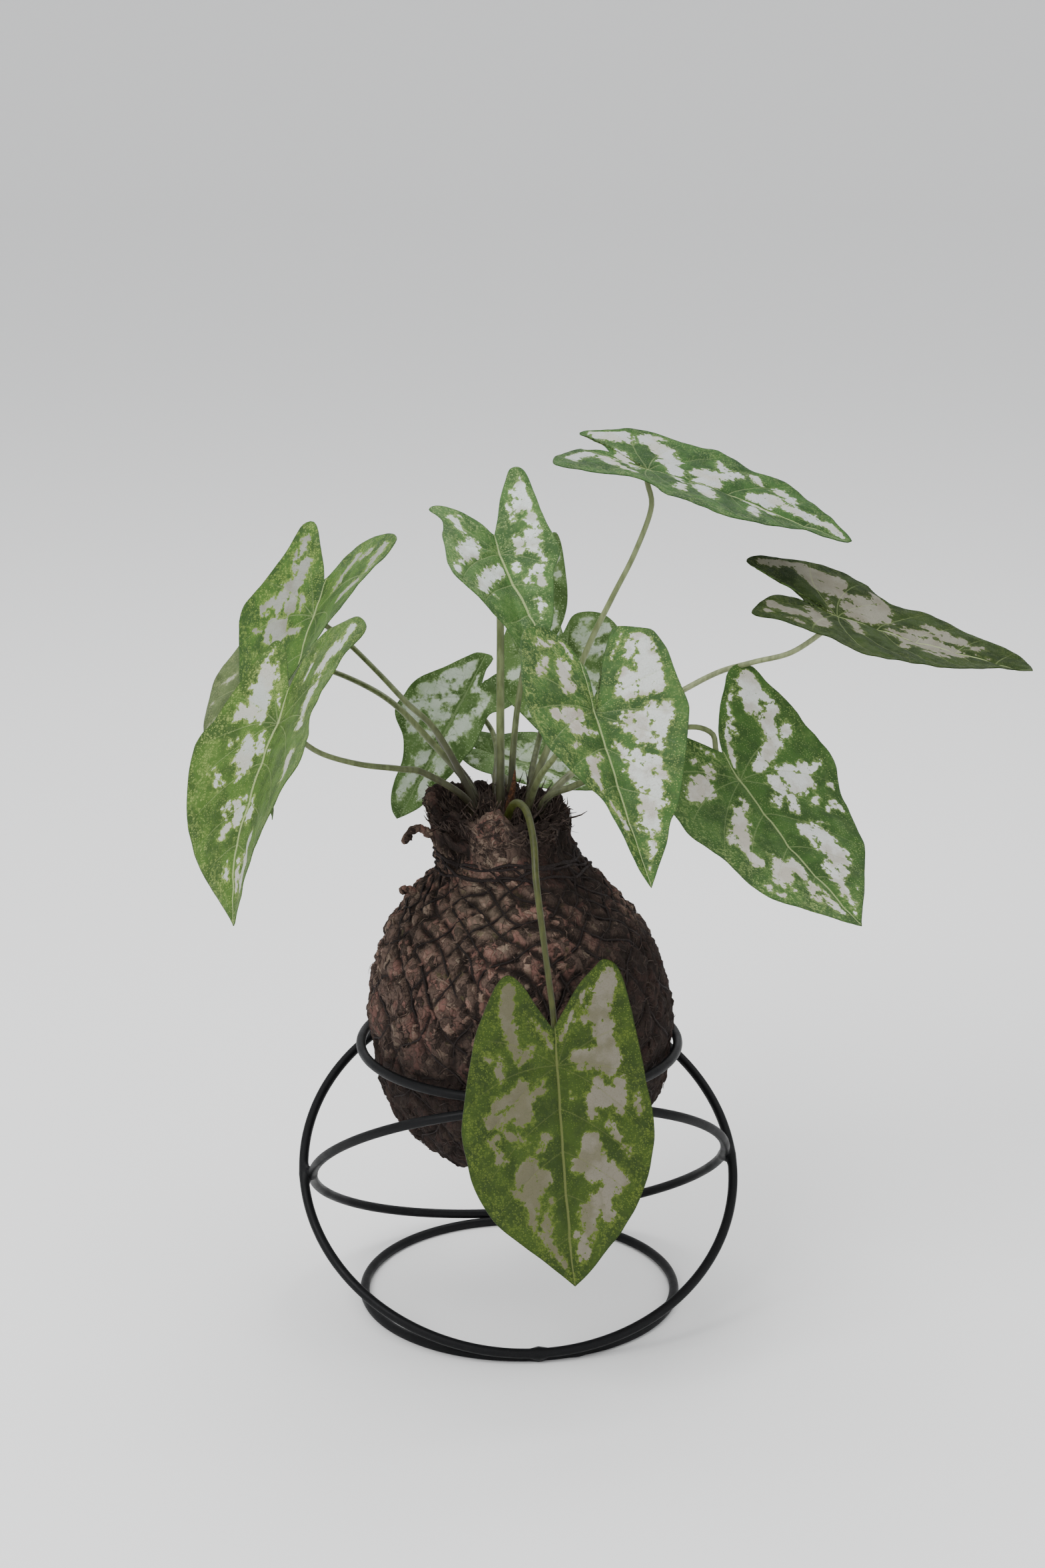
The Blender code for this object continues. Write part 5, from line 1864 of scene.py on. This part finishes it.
REAR_LEFT_RIGHT: Edge = (
    (-13, 4), (-18, 3), (-24, 3), (-23, -3), (-20, -6), (-12, -12), (-5, -18),
    (0, -20.5), (5, -21), (10, -22), (14, -20), (19, -14), (25, -10.5),
    (30, -9), (36, -8.5), (42, -7), (46.5, -4), (48.5, -1))

REAR_LEFT_PALE: Marks = (
    (-15, 1, -10, 3, 1.5), (-17, -3, -8, -5, 2), (-12, -5, -10, -11, 2.5),
    (-5, -8, -1, -16, 2.2), (2, -8, 6, -15, 2), (-3, -2, -1, -6, 1.5),
    (4, -1, 6, -6, 2), (4, 6, 8, 3, 2.5), (10, 4, 13, 1, 1.5),
    (12, -3, 15, -6, 1.5), (15, 3, 19, 5, 1.5), (20, 1, 24, -3, 2.5),
    (20, 6, 24, 5, 1.5), (30, 2, 37, 5, 2.2), (31, -3, 40, -5, 1.5),
    (-8, 8, -2, 8, 1.5), (11, -14, 14, -12, 2), (8, -18, 9, -14, 1.5))

REAR_RIGHT_LEFT: Edge = (
    (-8, -2), (-16, 2), (-17, 12), (-10, 20), (0, 22), (12, 20), (22, 14),
    (30, 7), (36, 0))

REAR_RIGHT_RIGHT: Edge = (
    (-8, -2), (-14, -5), (-16, -12), (-14, -20), (-6, -24), (4, -25),
    (14, -24), (20, -21), (25, -15), (31, -8), (36, 0))

LOW_REAR_LEFT: Edge = (
    (-7, 0), (-10, 2), (-12, 5), (-8, 7.5), (0, 9), (8, 13), (16, 15),
    (26, 13), (36, 8), (43, 2), (45, 0))

LOW_REAR_RIGHT: Edge = (
    (-7, 0), (-11, -2), (-12, -6), (-6, -9), (4, -10), (16, -10), (28, -8),
    (38, -4), (45, 0))


PLAIN = LeafFinish()
FRESH = LeafFinish(
    deep=srgb(50, 80, 36), fresh=srgb(70, 104, 49), lime=srgb(146, 168, 102),
    pale=srgb(206, 212, 209))
# Painted shade: the plain colours with darker, greyer blotches, for the left
# rear blade in shadow.
BLOTCHES_IN_SHADE = replace(PLAIN, pale=srgb(146, 148, 139), dusk=srgb(128, 127, 114))
YOUNG = LeafFinish(
    deep=srgb(50, 75, 24), fresh=srgb(68, 98, 34), lime=srgb(144, 162, 86),
    pale=srgb(172, 178, 171))
# Painted shade: darker greens and greyer blotches for the hanging blade, which
# hangs in shadow.
HANGING_IN_SHADE = LeafFinish(
    deep=srgb(38, 55, 9), fresh=srgb(51, 70, 15), lime=srgb(98, 114, 40),
    pale=srgb(116, 111, 98), dusk=srgb(94, 91, 70), rib=srgb(98, 104, 56),
    calm=1.0, right_dusk=0.75)
COOL = LeafFinish(
    deep=srgb(42, 70, 27), fresh=srgb(58, 91, 38), lime=srgb(138, 154, 84),
    pale=srgb(193, 197, 192), dusk=srgb(161, 154, 142), lime_share=0.75,
    calm=0.25, right_dusk=0.7, shrink=1.0)
WARM = replace(
    COOL, deep=srgb(47, 74, 31), fresh=srgb(62, 94, 41),
    lime=srgb(140, 160, 94), pale=srgb(211, 213, 210),
    dusk=srgb(180, 174, 162), lime_share=0.65, shrink=0.7)
AIRY = LeafFinish(
    deep=srgb(37, 64, 27), fresh=srgb(53, 86, 37), lime=srgb(116, 138, 80),
    pale=srgb(176, 180, 179), shrink=0.2, shine=0.08)
SHADED = LeafFinish(
    deep=srgb(34, 48, 20), fresh=srgb(46, 62, 26), lime=srgb(84, 94, 52),
    pale=srgb(126, 124, 111), dusk=srgb(115, 111, 97), shrink=0.2, shine=0.04)
# Painted shade: olive greens and darker, greyer blotches for the far left
# blade, whose visible face is shaded.
OLIVE_IN_SHADE = LeafFinish(
    deep=srgb(66, 80, 44), fresh=srgb(86, 102, 60), lime=srgb(124, 134, 88),
    pale=srgb(156, 158, 140), dusk=srgb(140, 144, 120), soft=0.7)
# Painted light: lighter, greener colours stand in for light shining through
# the thin rear blades; their blotches have soft edges.
BACKLIT = LeafFinish(
    deep=srgb(66, 93, 42), fresh=srgb(93, 122, 66), lime=srgb(160, 182, 130),
    pale=srgb(198, 210, 193), dusk=srgb(168, 186, 156), rib=srgb(118, 140, 92),
    lime_share=0.3, shrink=-0.5, soft=0.8, shred=0.6)


# The thirteen leaves, the eight large ones first.
LEAVES: tuple[Leaf, ...] = (
    Leaf("left_front", (-83, -62, 243), (-113, 47, 15), 74, LEFT_FRONT_LEFT,
         LEFT_FRONT_RIGHT, (-16, -7), ((-18, -8, 198), (-34, -16, 212),
         (-43, -24, 216), (-57, -36, 221), (-70, -50, 229)), LEFT_FRONT_PALE,
         (28, 2), 18, 19, rib=((0, -1), (45, -6), (60, -4), (74, 0)),
         finish=YOUNG, skin=StalkFinish(brown_run=84.0), seed=1.0),
    Leaf("left_rear", (-77, 20, 263), (-123, 55, 12), 78, LEFT_REAR_LEFT,
         LEFT_REAR_RIGHT, (-15, -1), ((-17, -1, 197), (-30, 3, 222),
         (-42, 8, 233), (-52, 15, 242), (-64, 23, 252)), LEFT_REAR_PALE,
         (27, 3), 22, 40, finish=BLOTCHES_IN_SHADE, skin=StalkFinish(brown_run=84.0),
         seed=2.0),
    Leaf("top_middle", (-7, 8, 289), (-73, 37, 0), 54, TOP_MIDDLE_LEFT,
         TOP_MIDDLE_RIGHT, (-7, 2), ((-7, 3, 200), (-7, 9, 234),
         (-7, 15, 264)), TOP_MIDDLE_PALE, (22, 27), 0, -20, rib=((0, 0),
         (12, 1), (35, 5), (54, 0)), stalk=(1.7, 1.4), finish=FRESH, seed=3.0),
    Leaf("top_right", (47, 10, 320), (-10, 15, 2), 78, TOP_RIGHT_LEFT,
         TOP_RIGHT_RIGHT, (1, 5), ((5, 6, 201), (15, 7, 226), (25, 8, 253),
         (34, 9, 272), (42, 10, 288), (48, 10, 305)), TOP_RIGHT_PALE, (12, 1),
         8, finish=AIRY, skin=StalkFinish(srgb(96, 106, 66),
         srgb(122, 132, 90)), seed=4.0),
    Leaf("middle_right", (30, -74, 247), (-74, 40, 0), 67, MIDDLE_RIGHT_LEFT,
         MIDDLE_RIGHT_RIGHT, (-2, -9), ((3, -11, 197), (7, -20, 211),
         (12, -30, 221), (20, -50, 236)), MIDDLE_RIGHT_PALE, (18, 27), 3, -9,
         hub=(-3, -4), rib=((-4, -4.5), (20, -3.5), (45, -2), (67, 0)),
         finish=COOL, seed=5.0),
    Leaf("far_right", (115, -10, 270), (0, 20, 3), 74, FAR_RIGHT_LEFT,
         FAR_RIGHT_RIGHT, (6, 1), ((11, 3, 198), (30, 5, 215), (47, 8, 229),
         (62, 9, 238), (74, 6, 245), (86, 0, 250), (99, -6, 255)),
         FAR_RIGHT_PALE, (13, -4), -7, -8, finish=SHADED,
         skin=StalkFinish(srgb(112, 120, 84), srgb(142, 150, 110)), seed=6.0),
    Leaf("right_front", (79, -35, 215), (-44, 43, 2), 70, RIGHT_FRONT_LEFT,
         RIGHT_FRONT_RIGHT, (5, -6), ((9, -8, 199), (20, -11, 206),
         (32, -18, 214), (45, -23, 226), (60, -26, 232), (69, -27, 230),
         (71, -27, 222)), RIGHT_FRONT_PALE, (6, -3), -13, -12, rib=((0, 0.5),
         (70, 0.3)), finish=WARM, seed=7.0),
    Leaf("hanging_front", (13, -79, 123), (-75, 75, -5), 77,
         HANGING_FRONT_LEFT, HANGING_FRONT_RIGHT, (-8, -10), ((-3, -19, 200),
         (2, -30, 203), (5, -45, 196), (6, -56, 184), (8, -62, 169),
         (10, -66, 154), (12, -70, 139), (12.5, -74, 129)), HANGING_FRONT_PALE,
         (1, 2), -6, rib=((0, 0.7), (77, 0)), stalk=(1.5, 1.1), finish=HANGING_IN_SHADE,
         skin=StalkFinish(srgb(52, 56, 18), srgb(68, 73, 27), brown_run=16.0),
         seed=8.0),
    Leaf("rear_middle", (6, 36, 274), (-95, 60, -5), 36, half_leaf(36, 12.5),
         half_leaf(36, -12.5), (-3, 9), ((-3, 12, 200), (-1, 22, 225),
         (3, 33, 248), (6, 41, 264)), streaks(36, 12.5, 30), finish=BACKLIT,
         rear=True, spacing=9.0, seed=9.0),
    Leaf("rear_left", (-24, 46, 221), (-154, 58, -45), 48, REAR_LEFT_LEFT,
         REAR_LEFT_RIGHT, (-8, 12), ((-9, 18, 198), (-8.5, 30, 204),
         (-9, 40, 208.5), (-11, 46, 213), (-16, 50.5, 218)), REAR_LEFT_PALE,
         (4, 4), 6, hub=(-5, 0), finish=BACKLIT, rear=True, spacing=11.0,
         seed=10.0),
    Leaf("rear_right", (18, 44, 243), (-100, 62, -10), 36, REAR_RIGHT_LEFT,
         REAR_RIGHT_RIGHT, (3, 11), ((4, 17, 199), (8, 35, 214), (12, 46, 230),
         (16, 50, 238)), streaks(36, 20, 32), (4, 4), 6, finish=BACKLIT,
         rear=True, spacing=10.0, seed=11.0),
    Leaf("far_left", (-99, 64, 236), (-158, 56, 0), 54, half_leaf(54, 27),
         half_leaf(54, -27), (-14, 6), ((-17, 7, 198), (-34, 12, 218),
         (-48, 17, 231), (-64, 29, 237), (-80, 46, 238)), streaks(54, 27, 33),
         finish=OLIVE_IN_SHADE, rear=True, spacing=11.0, seed=12.0),
    Leaf("low_rear", (-10, 49, 202.5), (-6, 15, 40), 45, LOW_REAR_LEFT,
         LOW_REAR_RIGHT, (-3, 15), ((-4, 17, 197.5), (-5, 25, 199),
         (-7, 33, 197.5), (-9.5, 43, 193.5), (-10.5, 50.5, 196)),
         streaks(45, 10, 34), (4, 4), 6, stalk=(1.4, 0.9), finish=BACKLIT,
         rear=True, spacing=9.0, seed=13.0))


@dataclass
class Sheath:
    """Dry papery leaf base left on the tuber."""

    path: tuple[Point, ...] = ((-5, -4, 179.5), (-4.4, -4.6, 187),
                               (-4, -5, 193), (-2.5, -6, 203),
                               (-1.5, -6.5, 211))
    wide: float = 2.3
    stump: tuple[Point, ...] = ((-14.5, 11, 190), (-18, 14, 199),
                                (-25, 18.5, 208), (-31, 22, 217))
    stump_root: Flat = (-12.0, 9.0)
    paper: EarthFinish = EarthFinish(srgb(62, 40, 28), srgb(112, 74, 48),
                                     0.7, 0.7, 0.3)

    def build_stump(self, shop: Shop) -> None:
        """Make the withered stalk whose blade has gone."""
        line = even_line(smooth_line(
            [crown_point(self.stump_root), *self.stump], 10), 48)
        share = np.linspace(0, 1, len(line))
        radius = 1.5 - 0.3 * share + 0.8 * np.exp(-share / 0.08)
        radius += 0.12 * fractal(line, 4.0, 2, 3.0)
        radius[-1] *= 0.7
        mesh = shop.stalk("stalk_stump", line, radius)
        withered = StalkFinish(srgb(58, 56, 38), srgb(80, 78, 52),
                               srgb(44, 36, 28))
        shop.finish("stalk_stump", mesh, "dry_sheath",
                    withered.make("stalk_stump"),
                    stands_for="old_stalk")

    def build(self, shop: Shop) -> None:
        """Make the sheath, a flattened tube that narrows to a point."""
        self.build_stump(shop)
        line = even_line(smooth_line(list(self.path), 10), 60)
        share = np.linspace(0, 1, len(line))
        radius = self.wide * (1 - share) ** 0.7 + 0.12
        mesh = shop.tubes("sheath", [line], [radius], 20)
        rows = shop.coords(mesh)
        near = np.linalg.norm(rows[:, None] - line[None], axis=2).argmin(1)
        way = rows - line[near]
        way[:, 1] *= 0.55
        crease = 1 + 0.22 * np.sin(5 * np.arctan2(way[:, 1], way[:, 0])
                                   + rows[:, 2] * 0.25)
        rows = line[near] + way * crease[:, None]
        shop.finish("dry_leaf_base", mesh, "dry_sheath",
                    self.paper.make("dry_leaf_base"), rows=rows,
                    stands_for="dry_sheath")


# ---------------------------------------------------------------------- stage
class Lamp(Enum):
    """Soft lamps: place, size and strength."""

    KEY = ((-0.95, -0.95, 1.45), 1.1, 26.0)
    FILL = ((1.3, -1.1, 0.7), 1.4, 6.0)
    TOP = ((0.1, 0.5, 1.7), 1.2, 15.0)


@dataclass
class Stage:
    """Pale floor, soft lamps and the camera."""

    camera_at: Point = (-0.02867, -0.98103, 0.48029)
    camera_to: Point = (-0.02867, 0.01633, 0.2037)
    lamps_to: Point = (-0.02, 0.0, 0.18)
    lens: float = 64.29
    film: float = 36.0
    near: float = 0.05
    far: float = 50.0
    sky: Colour = (0.98, 0.99, 1.0)
    sky_strength: float = 1.0
    floor: float = 6.0
    sweep: float = 2.0
    wall: float = 2.5
    spokes: int = 128

    @staticmethod
    def aim(thing: Thing, target: Point) -> None:
        """Turn a lamp or camera to a point."""
        way = Vector(target) - thing.location
        thing.rotation_euler = way.to_track_quat("-Z", "Y").to_euler()

    def build_floor(self, shop: Shop) -> None:
        """Make the floor, which sweeps up into a wall all round."""
        bend = [(self.floor + self.sweep * sin(a),
                 self.sweep * (1 - cos(a)))
                for a in np.linspace(0, pi / 2, 24)]
        top = (bend[-1][0], bend[-1][1] + self.wall)
        mesh = shop.sheet(shop.spin([(0.0, 0.0), (1.0, 0.0), *bend, top],
                                    self.spokes), "floor")
        mesh.shade_smooth()
        mesh.materials.append(FloorFinish().make("floor"))
        link("floor", mesh)

    def build_lamps(self) -> None:
        """Make the soft lamps and the even sky."""
        for lamp in Lamp:
            name = lamp.name.lower()
            place, size, watts = lamp.value
            data = bpy.data.lights.new(name, "AREA")
            data.shape, data.size, data.energy = "DISK", size, watts
            thing = link(name, data)
            thing.location = place
            self.aim(thing, self.lamps_to)
        world = bpy.data.worlds.new("sky")
        world.use_nodes = True
        back = world.node_tree.nodes["Background"]
        back.inputs["Color"].default_value = (*self.sky, 1.0)
        back.inputs["Strength"].default_value = self.sky_strength
        bpy.context.scene.world = world

    def build_camera(self) -> None:
        """Make the camera."""
        data = bpy.data.cameras.new("camera")
        data.lens, data.sensor_width = self.lens, self.film
        data.clip_start, data.clip_end = self.near, self.far
        camera = link("camera", data)
        camera.location = self.camera_at
        self.aim(camera, self.camera_to)
        bpy.context.scene.camera = camera

    def build(self, shop: Shop) -> None:
        """Make the floor, the lamps, the sky and the camera."""
        self.build_floor(shop)
        self.build_lamps()
        self.build_camera()


def main() -> None:
    """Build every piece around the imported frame."""
    logging.basicConfig(level=logging.INFO, format="%(name)s: %(message)s")
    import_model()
    shop = Shop()
    Stage().build(shop)
    Stand().build(shop)
    Ball().build(shop)
    Sheath().build(shop)
    for leaf in LEAVES:
        leaf.build(shop)


if __name__ == "__main__":
    main()
